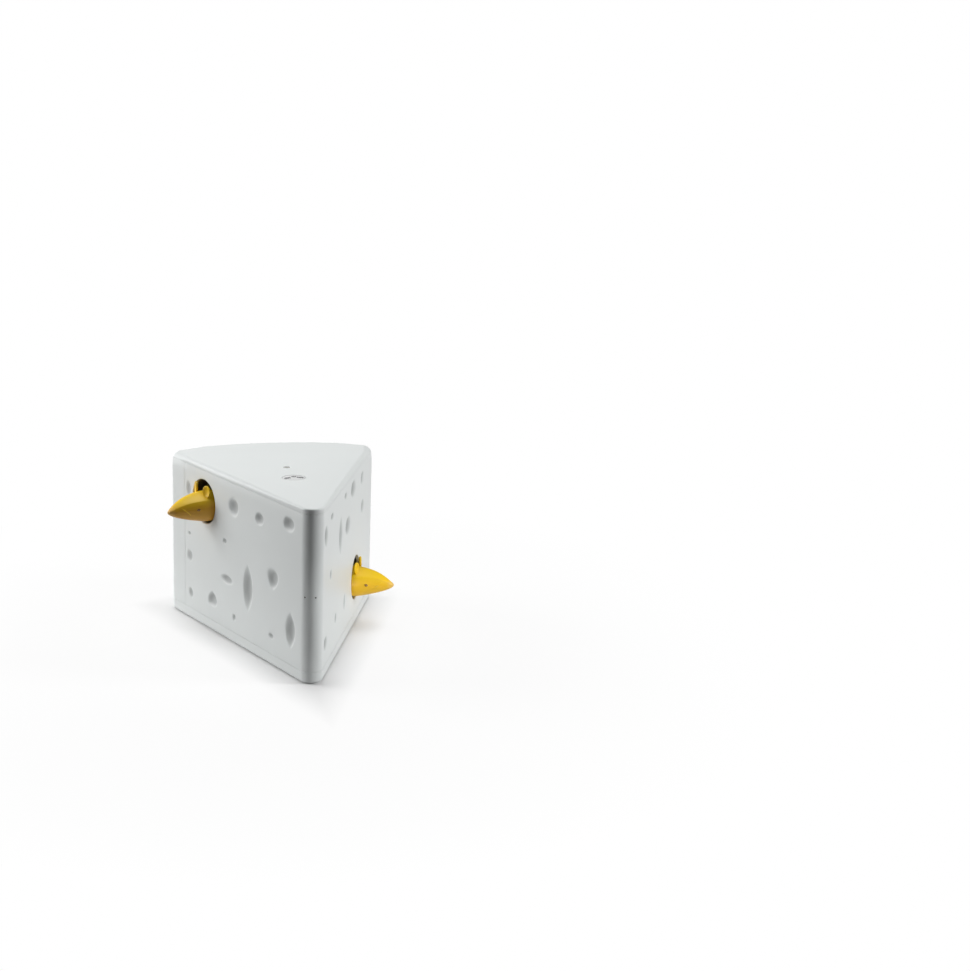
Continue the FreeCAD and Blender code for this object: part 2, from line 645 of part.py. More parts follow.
def button_parts():
    """A round button with a domed top, a hidden flange that keeps it in, and a short stem."""
    body = new_body()
    profile = sketch(body, "XZ_Plane")
    top = S.total_height + S.button_rise
    rim = S.total_height - S.button_edge
    flange_top = S.total_height - S.cover_wall - S.flange_gap
    flange_low = flange_top - S.button_flange
    stem_low = flange_low - S.button_stem
    stem = S.plunger_radius + S.stem_wall
    wide = S.button_radius + S.button_flange
    points = [(0, stem_low), (stem, stem_low), (stem, flange_low), (wide, flange_low),
              (wide, flange_top), (S.button_radius, flange_top), (S.button_radius, rim)]
    lines = [Part.LineSegment(Vector(a[0], a[1], 0), Vector(b[0], b[1], 0))
             for a, b in zip(points, points[1:])]
    dome = (S.button_radius ** 2 + (top - rim) ** 2) / (2 * (top - rim))
    centre = Vector(0, top - dome, 0)
    start = math.atan2(rim - centre.y, S.button_radius)
    lines.append(Part.ArcOfCircle(Part.Circle(centre, Z_AXIS, dome), start, math.pi / 2))
    lines.append(Part.LineSegment(Vector(0, top, 0), Vector(0, stem_low, 0)))
    profile.addGeometry(lines, False)
    turn = body.newObject("PartDesign::Revolution", "Revolution")
    turn.Profile = profile
    turn.ReferenceAxis = (profile, ["V_Axis"])
    turn.Angle = 360
    piece("power_button", body, Placement(Vector(0, S.button_reach, 0), Rotation()))


def control_parts():
    """The board under the cover, with its switch, lamp and chip, and the screws that hold it."""
    solids = [
        box("board_width", BOARD_LENGTH, "board_thick", ("-board_width / 2", BOARD_START,
                                                         UNDER_BOARD)),
        box("chip_length", "chip_width", "chip_height",
            ("-chip_length / 2", "button_reach + chip_beyond", UNDER_BOARD + " - chip_height")),
        rod("capacitor_radius", "capacitor_height",
            ("-capacitor_side", "lamp_reach - chip_beyond", UNDER_BOARD + " - capacitor_height")),
        box("plug_length", "plug_width", "plug_width",
            ("plug_side", BOARD_START + " + board_inset", UNDER_BOARD + " - plug_width"))]
    holes = [bored("screw_radius", "board_thick", at, UNDER_BOARD) for at in board_points()]
    piece("control_board", cut(fuse(solids), holes))
    half = "switch_width / 2"
    case = box("switch_width", "switch_width", "switch_height",
               ("-" + half, "button_reach - " + half, ON_BOARD))
    well = rod("plunger_radius + screw_fit", "switch_height - switch_floor",
               ("0", "button_reach", ON_BOARD + " + switch_floor"))
    piece("button_switch", cut(case, [well]))
    stem_end = "total_height - cover_wall - flange_gap - button_flange - button_stem"
    piece("switch_plunger", rod("plunger_radius", "plunger_length",
                                ("0", "button_reach", stem_end + " - plunger_length")))
    piece("lamp_diode", fuse([
        rod("diode_radius", "diode_height", ("0", "lamp_reach", ON_BOARD)),
        ball("diode_radius", ("0", "lamp_reach", ON_BOARD + " + diode_height"))]))
    lens_low = "total_height - cover_wall - lamp_flange"
    piece("lamp_lens", fuse([
        rod("lamp_radius", "cover_wall + lamp_flange", ("0", "lamp_reach", lens_low)),
        rod("lamp_radius + lamp_flange", "lamp_flange", ("0", "lamp_reach", lens_low))]))
    piece("board_screws", group([fuse([
        rod("head_radius", "head_height", xy(at) + (UNDER_BOARD + " - head_height",)),
        rod("screw_radius", "2 * lip_height + board_thick", xy(at) + (UNDER_BOARD,))])
        for at in board_points()]))


# Mice. Each one is drawn from the middle of its hole, x out of the face and z up.

# Sections from the hidden end to the tip: place along the mouse, then width, height and sag as
# shares of the largest
BEHIND = [(-1, 0.72, 0.8, 0), (-0.72, 0.93, 0.94, 0), (-0.3, 1, 1, 0.4)]
AHEAD = [(0.04, 0.985, 0.985, 1), (0.22, 0.87, 0.87, 1), (0.5, 0.62, 0.66, 1.05),
         (0.78, 0.37, 0.39, 1.17)]


def section(out, wide, tall, sag):
    """An oval across the mouse's length, wider than it is tall."""
    item = doc.addObject("Part::Ellipse", "Section")
    bind(item, MajorRadius=wide, MinorRadius=tall)
    turn = Rotation(Vector(0, 1, 0), 90).multiply(Rotation(Z_AXIS, 90))
    return place(item, (out, "0", "-(%s)" % sag), turn)


def mouse(label, here):
    """A wedge-nosed body that droops towards the nose, with two cupped ears."""
    sections = [("%g * mouse_tail" % row[0],) + row[1:] for row in BEHIND]
    sections += [("%g * mouse_proud" % row[0],) + row[1:] for row in AHEAD]
    ovals = [section(out, "%g * mouse_wide" % wide, "%g * mouse_tall" % tall, "%g * mouse_sag" % sag)
             for out, wide, tall, sag in sections]
    ovals.append(section("mouse_proud - nose_ball", "0.96 * nose_ball", "0.9 * nose_ball",
                         "nose_drop"))
    loft = doc.addObject("Part::Loft", "Body")
    loft.Sections = ovals
    loft.Solid = True
    nose = ball("nose_ball", ("mouse_proud - nose_ball", "0", "-nose_drop"))
    ears = []
    cups = []
    for side in (-1, 1):
        spread = "%d * ear_spread" % side
        ears.append(place(ear_disc("ear_radius", "ear_thick / 2"), ("ear_out", spread, "ear_lift"),
                          Rotation(Z_AXIS, side * S.ear_turn)))
        cups.append(ball("1.3 * ear_radius", ("ear_out + 1.3 * ear_radius - ear_thick / 6", spread,
                                              "ear_lift + ear_radius / 8")))
    pilot = rod("screw_radius + screw_fit", "tail_screw_grip + 1",
                ("-mouse_tail", "0", "tail_screw"), "x")
    whole = fuse([loft, nose, cut(fuse(ears), cups)])
    # Merging the faces of the ears with the body's would leave an invalid solid
    whole.Refine = False
    piece(label + "_mouse", cut(whole, [pilot]), here)


def ear_disc(radius, half_thick):
    item = doc.addObject("Part::Ellipsoid", "Ear")
    bind(item, Radius1=radius, Radius2=half_thick, Radius3=radius)
    return item


DECK = "-deck_drop"


def carriage(label, here):
    """The rack that carries a mouse, with a foot flange and a plate behind the mouse."""
    length = "rack_end - mouse_tail - mount_plate / 2"
    flange = box(length, "2 * flange_half", "flange_thick",
                 ("-rack_end", "-flange_half", DECK + " + slide_gap"))
    root = "rack_line - 1.25 * rack_module"
    bar_low = DECK + " + slide_gap + flange_thick - join"
    bar = box(length, "rack_back + " + root, "-rack_top - (%s)" % bar_low,
              ("-rack_end", "-rack_back", bar_low))
    plate = box("mount_plate", "2 * mount_half", "mount_rise + deck_drop - slide_gap",
                ("-mouse_tail - mount_plate", "-mount_half", DECK + " + slide_gap"))
    teeth = new_body()
    profile = sketch(teeth, lift=bar_low)
    step = math.pi * S.rack_module
    count = int((S.rack_end - 1 - S.rack_first) / step)
    first = S.rack_gear_reach + step / 2 + step * int((S.rack_end - S.rack_gear_reach) / step - 0.5)
    slope = math.tan(math.radians(20))
    half = step / 4 - S.backlash / 4
    root_y = S.rack_line - 1.25 * S.rack_module - S.join
    tip_y = S.rack_line + S.rack_module
    root_half = half + (S.rack_line - root_y) * slope
    tip_half = half - (tip_y - S.rack_line) * slope
    for i in range(count):
        middle = -first + i * step
        corners = [Vector(middle - root_half, root_y, 0), Vector(middle + root_half, root_y, 0),
                   Vector(middle + tip_half, tip_y, 0), Vector(middle - tip_half, tip_y, 0)]
        profile.addGeometry([Part.LineSegment(corners[j], corners[(j + 1) % 4]) for j in range(4)],
                            False)
    pad(teeth, profile, "-rack_top - (%s)" % bar_low)
    screw_hole = rod("screw_radius + screw_fit", "mount_plate + 2",
                     ("-mouse_tail - mount_plate - 1", "0", "tail_screw"), "x")
    piece(label + "_carriage", cut(fuse([flange, bar, plate, teeth]), [screw_hole]), here)
    screw = fuse([rod("screw_radius", "mount_plate + tail_screw_grip",
                      ("-mouse_tail - mount_plate", "0", "tail_screw"), "x"),
                  rod("head_radius", "head_height",
                      ("-mouse_tail - mount_plate - head_height", "0", "tail_screw"), "x")])
    piece(label + "_mouse_screw", screw, here)


# Gears, drawn with their first tooth centred on +X

def tooth_half(radius, teeth, module, gap):
    """Half the thickness of a 20 degree involute tooth at a radius."""
    pitch = teeth * module / 2
    base = pitch * math.cos(math.radians(20))
    angle = math.acos(base / max(radius, base))
    involute = math.tan(angle) - angle
    pitch_involute = math.tan(math.radians(20)) - math.radians(20)
    return radius * ((math.pi * module / 2 - gap) / 2 / pitch + pitch_involute - involute)


def gear(teeth, module, lift, thick, points):
    """A spur gear: a disc to the roots, one tooth padded and the rest patterned from it."""
    teeth = int(teeth)
    pitch = teeth * module / 2
    radii = [pitch - 1.25 * module, pitch, pitch + module]
    if points == 4:
        radii = [pitch - 1.25 * module, pitch - 0.4 * module, pitch + 0.4 * module, pitch + module]
    side = [Vector(r, tooth_half(r, teeth, module, S.backlash / 2), 0) for r in radii]
    turn = 2 * math.pi / teeth
    outline = []
    for i in range(teeth):
        spin = Rotation(Z_AXIS, math.degrees(i * turn))
        outline += [spin.multVec(Vector(p.x, -p.y, 0)) for p in side]
        outline += [spin.multVec(p) for p in reversed(side)]
    body = new_body()
    profile = sketch(body, lift=lift)
    profile.addGeometry([Part.LineSegment(outline[i], outline[(i + 1) % len(outline)])
                         for i in range(len(outline))], False)
    pad(body, profile, thick)
    return body


def turned(item, angle):
    """Turn a gear about its axle."""
    item.Placement = Placement(Vector(), Rotation(Z_AXIS, angle))
    return item


RACK_GEAR = Vector(-S.rack_gear_reach, S.rack_line + S.rack_module * S.rack_gear_teeth / 2, 0)
WHEEL_APART = S.wheel_module * (S.wheel_teeth + S.idler_teeth) / 2
IDLER = RACK_GEAR + Vector(-S.idler_offset, math.sqrt(WHEEL_APART ** 2 - S.idler_offset ** 2), 0)
MOTOR_APART = S.idler_module * (S.idler_wheel_teeth + S.motor_teeth) / 2
MOTOR = IDLER + Vector(S.motor_offset, math.sqrt(MOTOR_APART ** 2 - S.motor_offset ** 2), 0)


def toward(a, b):
    return math.degrees(math.atan2(b.y - a.y, b.x - a.x))


WHEEL_LIFT = "(-rack_top + gear_gap)"
IDLER_LIFT = "(-deck_drop + motor_length + gear_gap)"


def gear_train(label, here):
    """Rack gear, idler and motor pinion, in mesh with each other and with the rack at rest."""
    bore = ("axle_radius + axle_fit", "3 * deck_drop", ("0", "0", "-2 * deck_drop"))
    rail_top = DECK + " + flange_thick + 2 * slide_gap + rail_lip"
    low = gear(S.rack_gear_teeth, S.rack_module, rail_top + " + gear_gap",
               "-rack_top + gear_gap - (%s + gear_gap)" % rail_top, 4)
    wheel = gear(S.wheel_teeth, S.wheel_module, WHEEL_LIFT, "wheel_thick", 3)
    hub = rod("wheel_hub", "gear_roof_rise - gear_gap / 2 - " + WHEEL_LIFT, ("0", "0", WHEEL_LIFT))
    to_idler = toward(RACK_GEAR, IDLER)
    rack_gear = cut(fuse([turned(low, -90), turned(wheel, to_idler), hub]), [rod(*bore)])
    piece(label + "_rack_gear", rack_gear, here.multiply(Placement(RACK_GEAR, Rotation())))

    small = gear(S.idler_teeth, S.wheel_module, WHEEL_LIFT + " - mesh_over",
                 "wheel_thick + 2 * mesh_over", 4)
    big = gear(S.idler_wheel_teeth, S.idler_module, IDLER_LIFT, "idler_thick", 3)
    core = rod("idler_hub", IDLER_LIFT + " + idler_thick - (%s + gear_gap / 2)" % DECK,
               ("0", "0", DECK + " + gear_gap / 2"))
    small_turn = to_idler + 180 + 180 / S.idler_teeth
    to_motor = toward(IDLER, MOTOR)
    idler = cut(fuse([turned(small, small_turn), turned(big, to_motor), core]), [rod(*bore)])
    piece(label + "_idler_gear", idler, here.multiply(Placement(IDLER, Rotation())))

    pinion = gear(S.motor_teeth, S.idler_module, IDLER_LIFT, "idler_thick", 4)
    shaft = rod("shaft_radius", "motor_length + gear_gap + idler_thick - shaft_start",
                ("0", "0", DECK + " + shaft_start"))
    motor_turn = to_motor + 180 + 180 / S.motor_teeth
    piece(label + "_motor_pinion", fuse([turned(pinion, motor_turn), shaft]),
          here.multiply(Placement(MOTOR, Rotation())))


def motor(label, here):
    """A flat-sided motor can that stands on the deck with its shaft up."""
    can = common([rod("motor_radius", "motor_length - motor_nose", ("0", "0", DECK)),
                  box("2 * motor_radius", "motor_flat", "motor_length",
                      ("-motor_radius", "-motor_flat / 2", DECK))])
    nose = rod("motor_nose_radius", "motor_nose",
               ("0", "0", DECK + " + motor_length - motor_nose"))
    bore = rod("shaft_radius + axle_fit", "motor_length",
               ("0", "0", DECK + " + shaft_start - cradle_gap"))
    piece(label + "_motor", cut(fuse([can, nose]), [bore]),
          here.multiply(Placement(MOTOR, Rotation())))


PILLARS = [Vector(-112, 14, 0), Vector(-97, 47, 0), Vector(-73.8, 24, 0)]
LUGS = [Vector(-78, -17, 0), Vector(-128, -16, 0), Vector(-108, 44, 0)]


def lug_points(side):
    """Plan points under a drive frame's lugs: the lower drive is on the right face."""
    here = seat(1, S.lower_reach, 0) if side > 0 else seat(-1, S.upper_reach, 0)
    return [here.multVec(at) for at in LUGS]


LEGS = [Vector(-42.5, 237, 0), Vector(42, 236, 0), Vector(8, 134, 0)]


def drive_frame(label, here):
    """The deck with its two lipped rails, axle seats, motor cradle, pillars and lugs."""
    under = DECK + " - deck_thick"
    side_wall = S.flange_half + S.slide_gap + S.rail_wall - S.deck_corner
    rear, front = S.deck_corner - S.frame_rear, -S.deck_corner - S.frame_front
    corners = [Vector(rear, -side_wall, 0), Vector(front, -side_wall, 0),
               PILLARS[2] + Vector(0, 1, 0), PILLARS[1] + Vector(0, 1, 0),
               Vector(rear, side_wall, 0)]
    solids = [hull_plate(corners, S.deck_corner, under, "deck_thick"),
              hull_plate([LUGS[0], Vector(LUGS[0].x - 7, 0, 0), LUGS[1]], S.lug_radius, under,
                         "deck_thick"),
              hull_plate([LUGS[2], Vector(-110, 10, 0), Vector(-95, 20, 0)], S.lug_radius, under,
                         "deck_thick")]
    inner = "(flange_half + slide_gap)"
    lip_low = DECK + " + flange_thick + 2 * slide_gap"
    length = "frame_rear - frame_front"
    low = DECK + " - join"
    wall_high = "flange_thick + 2 * slide_gap + rail_lip + join"
    for side, wall in ((-1, "rail_wall"), (1, "(rail_wall + rail_extra)")):
        leg_y = inner if side > 0 else "-%s - %s" % (inner, wall)
        solids.append(box(length, wall, wall_high, ("-frame_rear", leg_y, low)))
        lip_y = "%s - lip_reach" % inner if side > 0 else "-%s - join" % inner
        solids.append(box(length, "lip_reach + join", "rail_lip", ("-frame_rear", lip_y, lip_low)))
    solids.append(box("end_stop", "2 * " + inner, wall_high, ("-frame_rear", "-" + inner, low)))
    for at in PILLARS:
        solids.append(rod("pillar_radius", "gear_roof_rise + deck_drop + join", xy(at) + (low,)))
    solids.append(box("2 * motor_radius + 2 * cradle_wall", "motor_flat + 2 * cradle_wall",
                      "cradle_height", ("%.6f - motor_radius - cradle_wall" % MOTOR.x,
                                        "%.6f - motor_flat / 2 - cradle_wall" % MOTOR.y, low)))
    tools = [box("2 * motor_radius + 2 * cradle_gap", "motor_flat + 2 * cradle_gap",
                 "cradle_height + 1", ("%.6f - motor_radius - cradle_gap" % MOTOR.x,
                                       "%.6f - motor_flat / 2 - cradle_gap" % MOTOR.y, DECK))]
    tools += [rod("axle_radius", "2 * deck_drop", xy(at) + (under + " + axle_seat",))
              for at in (RACK_GEAR, IDLER)]
    tools += [bored("screw_radius", "3 * deck_thick", at, under + " - 1") for at in LUGS]
    tools += [bored("small_screw", "small_bite + 1.5", at, "gear_roof_rise - small_bite - 1")
              for at in PILLARS]
    piece(label + "_drive_frame", cut(fuse(solids), tools), here)


def drive_roof(label, here):
    """The plate over the gears, which holds the axles' upper ends, and its screws."""
    plate = hull_plate([PILLARS[0], PILLARS[2], PILLARS[1]], S.roof_corner, "gear_roof_rise",
                       "gear_roof")
    tools = [rod("axle_radius", "3 * gear_roof", xy(at) + ("gear_roof_rise - 1",))
             for at in (RACK_GEAR, IDLER)]
    tools += [bored("small_screw", "3 * gear_roof", at, "gear_roof_rise - 1") for at in PILLARS]
    piece(label + "_gear_roof", cut(plate, tools), here)
    axle = "gear_roof_rise + gear_roof + deck_drop + deck_thick - axle_seat"
    piece(label + "_axles", group([rod("axle_radius", axle,
                                       xy(at) + (DECK + " - deck_thick + axle_seat",))
                                   for at in (RACK_GEAR, IDLER)]), here)
    screws = [fuse([rod("small_head", "small_head_height", xy(at) + ("gear_roof_rise + gear_roof",)),
                    rod("small_screw", "gear_roof + small_bite",
                        xy(at) + ("gear_roof_rise - small_bite",))]) for at in PILLARS]
    screws += [fuse([rod("head_radius", "head_height", xy(at) + (DECK,)),
                     rod("screw_radius", "screw_length - 4.2",
                         xy(at) + (DECK + " - screw_length + 4.2",))]) for at in LUGS]
    piece(label + "_drive_screws", group(screws), here)


def drive_tower():
    """The table that carries the upper drive above the lower one, on three legs."""
    under = "total_height - upper_drop - deck_drop - deck_thick - tower_thick"
    lugs = lug_points(-1)
    deck = hull_plate([LEGS[0], LEGS[2], lugs[2], LEGS[1]], S.leg_radius + S.deck_rim, under,
                      "tower_thick")
    foot_low = FLOOR + " + boss_rise"
    solids = [deck]
    solids += [rod("leg_radius", "%s + join - (%s)" % (under, foot_low), xy(at) + (foot_low,))
               for at in LEGS]
    solids += [rod("lug_radius", "tower_lug + 2", xy(at) + (under + " - tower_lug",)) for at in lugs]
    tools = [bored("screw_radius", "tower_lug + 4", at, under + " - tower_lug + 1") for at in lugs]
    tools += [bored("screw_radius", "screw_length", at, foot_low) for at in LEGS]
    piece("drive_tower", cut(fuse(solids), tools))


def drive(label, side, reach, height):
    here = seat(side, reach, height)
    mouse(label, here)
    carriage(label, here)
    gear_train(label, here)
    motor(label, here)
    drive_frame(label, here)
    drive_roof(label, here)


def save():
    doc.recompute()
    for item in doc.Objects:
        if "Invalid" in item.State or "Error" in item.State:
            raise ValueError("%s (%s) failed: %s" % (item.Name, item.Label, item.State))
    os.makedirs("parts", exist_ok=True)
    for label, item in pieces.items():
        shape = item.Shape
        if shape.isNull() or not shape.isValid():
            raise ValueError(label + " has no valid solid")
        if not shape.Solids:
            raise ValueError(label + " has no solid")
        shape.exportStep("parts/%s.step" % label)
        print("%-22s solids %d volume %.0f" % (label, len(shape.Solids), shape.Volume))


base_tray()
front_shell()
rear_shell()
top_cover()
feet_and_screws()
battery_parts()
battery_door()
button_parts()
control_parts()
drive_tower()
drive("upper", -1, S.upper_reach, UPPER_AXIS)
drive("lower", 1, S.lower_reach, S.lower_axis)
save()
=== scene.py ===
# Interactive cat toy box: finished surfaces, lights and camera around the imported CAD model.
# Lengths are metres in the frame's own axes; sizes written in millimetres are multiplied by MM.
import math

import bmesh
import bpy
from mathutils import Matrix, Vector
from mathutils.geometry import delaunay_2d_cdt


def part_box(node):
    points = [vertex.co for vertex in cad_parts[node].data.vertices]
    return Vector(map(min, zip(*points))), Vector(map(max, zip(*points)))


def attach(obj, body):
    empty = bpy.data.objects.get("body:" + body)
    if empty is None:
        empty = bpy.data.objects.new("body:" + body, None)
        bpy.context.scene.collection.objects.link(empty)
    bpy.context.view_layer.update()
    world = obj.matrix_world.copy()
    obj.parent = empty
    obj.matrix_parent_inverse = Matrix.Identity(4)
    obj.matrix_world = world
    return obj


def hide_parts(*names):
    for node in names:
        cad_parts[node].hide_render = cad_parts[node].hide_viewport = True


bl_info = {
    "name": "Cat Toy Box",
    "version": (1, 0, 0),
    "blender": (4, 5, 0),
    "location": "3D View > Sidebar > Cat Toy",
    "description": "Finishes the cheese-wedge cat toy box around its CAD frame",
    "category": "Object",
}

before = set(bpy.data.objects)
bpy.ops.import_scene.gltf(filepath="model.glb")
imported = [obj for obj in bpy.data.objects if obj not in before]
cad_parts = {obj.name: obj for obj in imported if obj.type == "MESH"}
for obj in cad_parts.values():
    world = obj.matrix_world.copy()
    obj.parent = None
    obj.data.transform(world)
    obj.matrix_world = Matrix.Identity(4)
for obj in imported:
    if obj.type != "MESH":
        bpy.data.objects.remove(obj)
MM = 0.001
UP, DOWN = Vector((0, 0, 1)), Vector((0, 0, -1))

# Sizes that have to agree with the part's own source
WEDGE_HALF = math.radians(45) / 2
WEDGE_RADIUS = 252 * MM
NOSE_RADIUS = 10.2 * MM
CORNER_RADIUS = 10 * MM
TOTAL_HEIGHT = 152 * MM
BASE_SEAM = 10.4 * MM
COVER_SEAM = 146.9 * MM
SEAM_GAP = 0.3 * MM
PANEL_REACH = 221 * MM
TONGUE_REACH = 6 * MM
MOUSE_HOLE = 40.4 * MM
UPPER_REACH = 186.4 * MM
UPPER_AXIS = 118.2 * MM
LOWER_REACH = 169.4 * MM
LOWER_AXIS = 45.3 * MM
MOUSE_SIDES = {"upper": (-1, UPPER_REACH, UPPER_AXIS), "lower": (1, LOWER_REACH, LOWER_AXIS)}
BOARD_TOP = 139 * MM
BOARD_THICK = 1.6 * MM
DECK_DROP = 13 * MM

SIN = math.sin(WEDGE_HALF)
COS = math.cos(WEDGE_HALF)
SHIFT = Vector(((UPPER_REACH - LOWER_REACH) * SIN / 2,
                -(WEDGE_RADIUS + NOSE_RADIUS * (1 / SIN - 1)) / 2, 0))

# Hollows in the cheese, in millimetres: reach from the apex along the face, height, width of the
# mouth, its height, tilt in degrees, how pointed its ends are and how much wider it is at the top
LEFT_SCOOPS = [
    (214, 123.8, 9, 17, 0, 0, 0), (133.9, 125.4, 17, 17, 20, 0, 0.15),
    (90.7, 125.8, 14, 11.5, 0, 0, 0), (44, 133, 17, 13, 0, 0, 0), (213, 82, 5, 4, 0, 0, 0),
    (149.5, 91, 7, 5.6, 0, 0, 0), (212.5, 60.9, 10.5, 12, 0, 0, 0),
    (145.8, 56.4, 21, 9, 0, 0.2, 0), (109.6, 58.5, 16, 43, 0, 0.75, 0),
    (68.6, 78.6, 17, 18.5, 0, 0.1, 0.35), (171.4, 30.5, 15.5, 14.5, 0, 0, -0.3),
    (211, 25.6, 8, 11, 15, 0, 0), (133.3, 24.7, 5.5, 6.8, 0, 0, 0),
    (71.1, 26.7, 8, 5.6, 0, 0, 0), (40.5, 41, 15, 32, 0, 0.7, 0),
]
RIGHT_SCOOPS = [
    (194.3, 133, 13, 13, 0, 0, 0), (151.2, 134, 22, 16, 0, 0.1, 0), (115.6, 137, 12, 6, 0, 0, 0),
    (128.6, 106.2, 23, 17, 0, 0, 0), (198.3, 105.3, 13, 14, 0, 0, 0), (57, 134.7, 12, 6.5, 0, 0, 0),
    (33, 124, 13, 19, 0, 0.2, 0), (95.9, 106.1, 14, 37, 0, 0.75, 0), (54.6, 83.9, 8, 10, 0, 0, 0),
    (118.1, 38.2, 9, 17.5, 0, 0.3, 0), (78.3, 37.1, 8.6, 10.4, 0, 0, 0),
    (36, 29, 13, 13, 0, 0, 0.2),
]
# Pin marks on the nose: degrees round it from straight ahead, to the left and to the right; their
# height, the radius of their mouths, and the plugs in them by radius and depth
NOSE_PINS = (-43, 10)
PIN_HEIGHT = 76 * MM
PIN_RADIUS = 0.85 * MM
PIN_PLUG = (0.8 * MM, 1.2 * MM)


def colour(red, green, blue):
    """A display colour, 0 to 255, as the linear value that a shader takes."""
    def linear(value):
        value /= 255
        return value / 12.92 if value <= 0.04045 else ((value + 0.055) / 1.055) ** 2.4
    return (linear(red), linear(green), linear(blue), 1.0)


def length_setting(name, description, default, low, high):
    return bpy.props.FloatProperty(name=name, description=description, default=default * MM,
                                   min=low * MM, max=high * MM, precision=5, unit="LENGTH")


def colour_setting(name, description, default):
    return bpy.props.FloatVectorProperty(name=name, description=description, subtype="COLOR",
                                         size=4, min=0, max=1, default=colour(*default))


class CatToySizes(bpy.types.PropertyGroup):
    """Sizes of the finished surfaces."""

    wall: length_setting("Wall", "Thickness of the shell's skin", 2.6, 1.2, 3)
    seam_gap: length_setting("Seam Gap", "Gap that shows between the shells", 0.12, 0.02, 0.3)
    seam_ease: length_setting("Seam Edge", "Rounding of the level seams' edges", 0.25, 0.05, 1)
    upright_ease: length_setting("Upright Seam Edge", "Rounding of the upright seams' edges",
                                 0.05, 0.02, 1)
    cover_round: length_setting("Cover Rounding", "Rounding of the cover's top edge", 4.3, 1, 5)
    nose_round: length_setting("Nose Rounding", "Rounding of the cover's edge at the nose",
                               1.6, 0.5, 5)
    corner_round: length_setting("Corner Rounding", "Rounding above the two back corners",
                                 9, 4, 9.5)
    hollow_depth: length_setting("Hollow Depth", "Depth of the larger hollows", 2.6, 0.5, 3)
    hollow_near_seam: length_setting("Hollow Depth at Seams",
                                     "Depth of the hollows beside the upright seams", 1, 0.3, 1.5)
    pin_depth: length_setting("Pin Depth", "Depth of the pin marks on the nose", 1.1, 0.2, 1.2)
    word_height: length_setting("Word Height", "Height of the words on the button", 3.3, 1, 4)
    word_weight: length_setting("Word Weight", "How much the letters' strokes are widened",
                                0.2, 0, 0.3)
    ink: length_setting("Ink", "Thickness of the printed marks", 0.05, 0.02, 0.2)
    door_ease: length_setting("Door Edge", "Rounding of the battery door's edges", 0.2, 0.05, 0.5)


class CatToyColours(bpy.types.PropertyGroup):
    """Colours of the finishes."""

    shell: colour_setting("Shell", "The housing's plastic", (234, 238, 237))
    button: colour_setting("Button", "The power button", (230, 231, 231))
    sign: colour_setting("Sign", "The marks on the button", (18, 19, 20))
    lens: colour_setting("Lens", "The lamp window", (140, 142, 134))
    mouse: colour_setting("Mouse", "The mice's upper side", (246, 204, 14))
    # Painted shade: the upper mouse's lower side is a darker brown than its yellow
    upper_side: colour_setting("Upper Mouse Side", "The upper mouse's lower side", (222, 160, 40))
    # Painted light: the lower mouse's lower side stays full bright yellow where it lies in shade
    lower_side: colour_setting("Lower Mouse Side", "The lower mouse's lower side", (255, 200, 26))
    tip: colour_setting("Nose Tip", "The mice's nose tips", (244, 205, 140))
    eye: colour_setting("Eye", "The mice's eyes", (150, 106, 34))
    grey: colour_setting("Grey Plastic", "The inner tower", (150, 152, 155))
    black: colour_setting("Black Plastic", "The drive frames", (34, 34, 36))
    gear: colour_setting("Gear Plastic", "Gears and racks", (232, 228, 212))
    rubber: colour_setting("Rubber", "The feet", (40, 40, 42))
    board: colour_setting("Board", "The control board", (22, 84, 48))
    cell: colour_setting("Cell Sleeve", "The batteries' sleeves", (38, 58, 68))
    band: colour_setting("Cell Band", "The coloured band at the batteries' tips", (196, 146, 60))


def sizes():
    return bpy.context.scene.cat_toy_sizes


def colours(name):
    return tuple(getattr(bpy.context.scene.cat_toy_colours, name))


def middle(node):
    """The middle of a CAD node's box."""
    low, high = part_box(node)
    return (low + high) / 2


# Node trees

class Wire:
    """A value in a node tree that the usual signs work on."""

    def __init__(self, tree, socket):
        self.tree = tree
        self.socket = socket

    def math(self, operation, first, second):
        node = self.tree.nodes.new("ShaderNodeMath")
        node.operation = operation
        for slot, value in zip(node.inputs, (first, second)):
            if isinstance(value, Wire):
                self.tree.links.new(value.socket, slot)
            else:
                slot.default_value = value
        return Wire(self.tree, node.outputs[0])

    def __add__(self, other):
        return self.math("ADD", self, other)

    def __sub__(self, other):
        return self.math("SUBTRACT", self, other)

    def __rsub__(self, other):
        return self.math("SUBTRACT", other, self)

    def __mul__(self, other):
        return self.math("MULTIPLY", self, other)

    def __truediv__(self, other):
        return self.math("DIVIDE", self, other)

    def __pow__(self, other):
        return self.math("POWER", self, other)

    def least(self, other):
        return self.math("MINIMUM", self, other)

    def most(self, other):
        return self.math("MAXIMUM", self, other)

    def step(self, low, high):
        """0 below low and 1 above high, straight in between."""
        return ((self - low) / (high - low)).most(0.0).least(1.0)

    def within(self, low, high, soft):
        """1 between two values and 0 outside them."""
        return self.step(low - soft, low) * (1.0 - self.step(high, high + soft))


class Builder:
    """Adds nodes to one tree."""

    def __init__(self, tree):
        self.tree = tree

    def node(self, kind, settings=None, **values):
        """Any node: its settings first, then the values or wires of its inputs, named as in the
        node with _ for a space; an input that shares its name is reached by its number, as _6."""
        node = self.tree.nodes.new(kind)
        for name, value in (settings or {}).items():
            setattr(node, name, value)
        for name, value in values.items():
            slot = node.inputs[int(name[1:]) if name[0] == "_" else name.replace("_", " ")]
            for item in value if isinstance(value, list) else [value]:
                if isinstance(item, Wire):
                    self.tree.links.new(item.socket, slot)
                else:
                    slot.default_value = item
        return node

    def out(self, node, name=0):
        return Wire(self.tree, node.outputs[name])


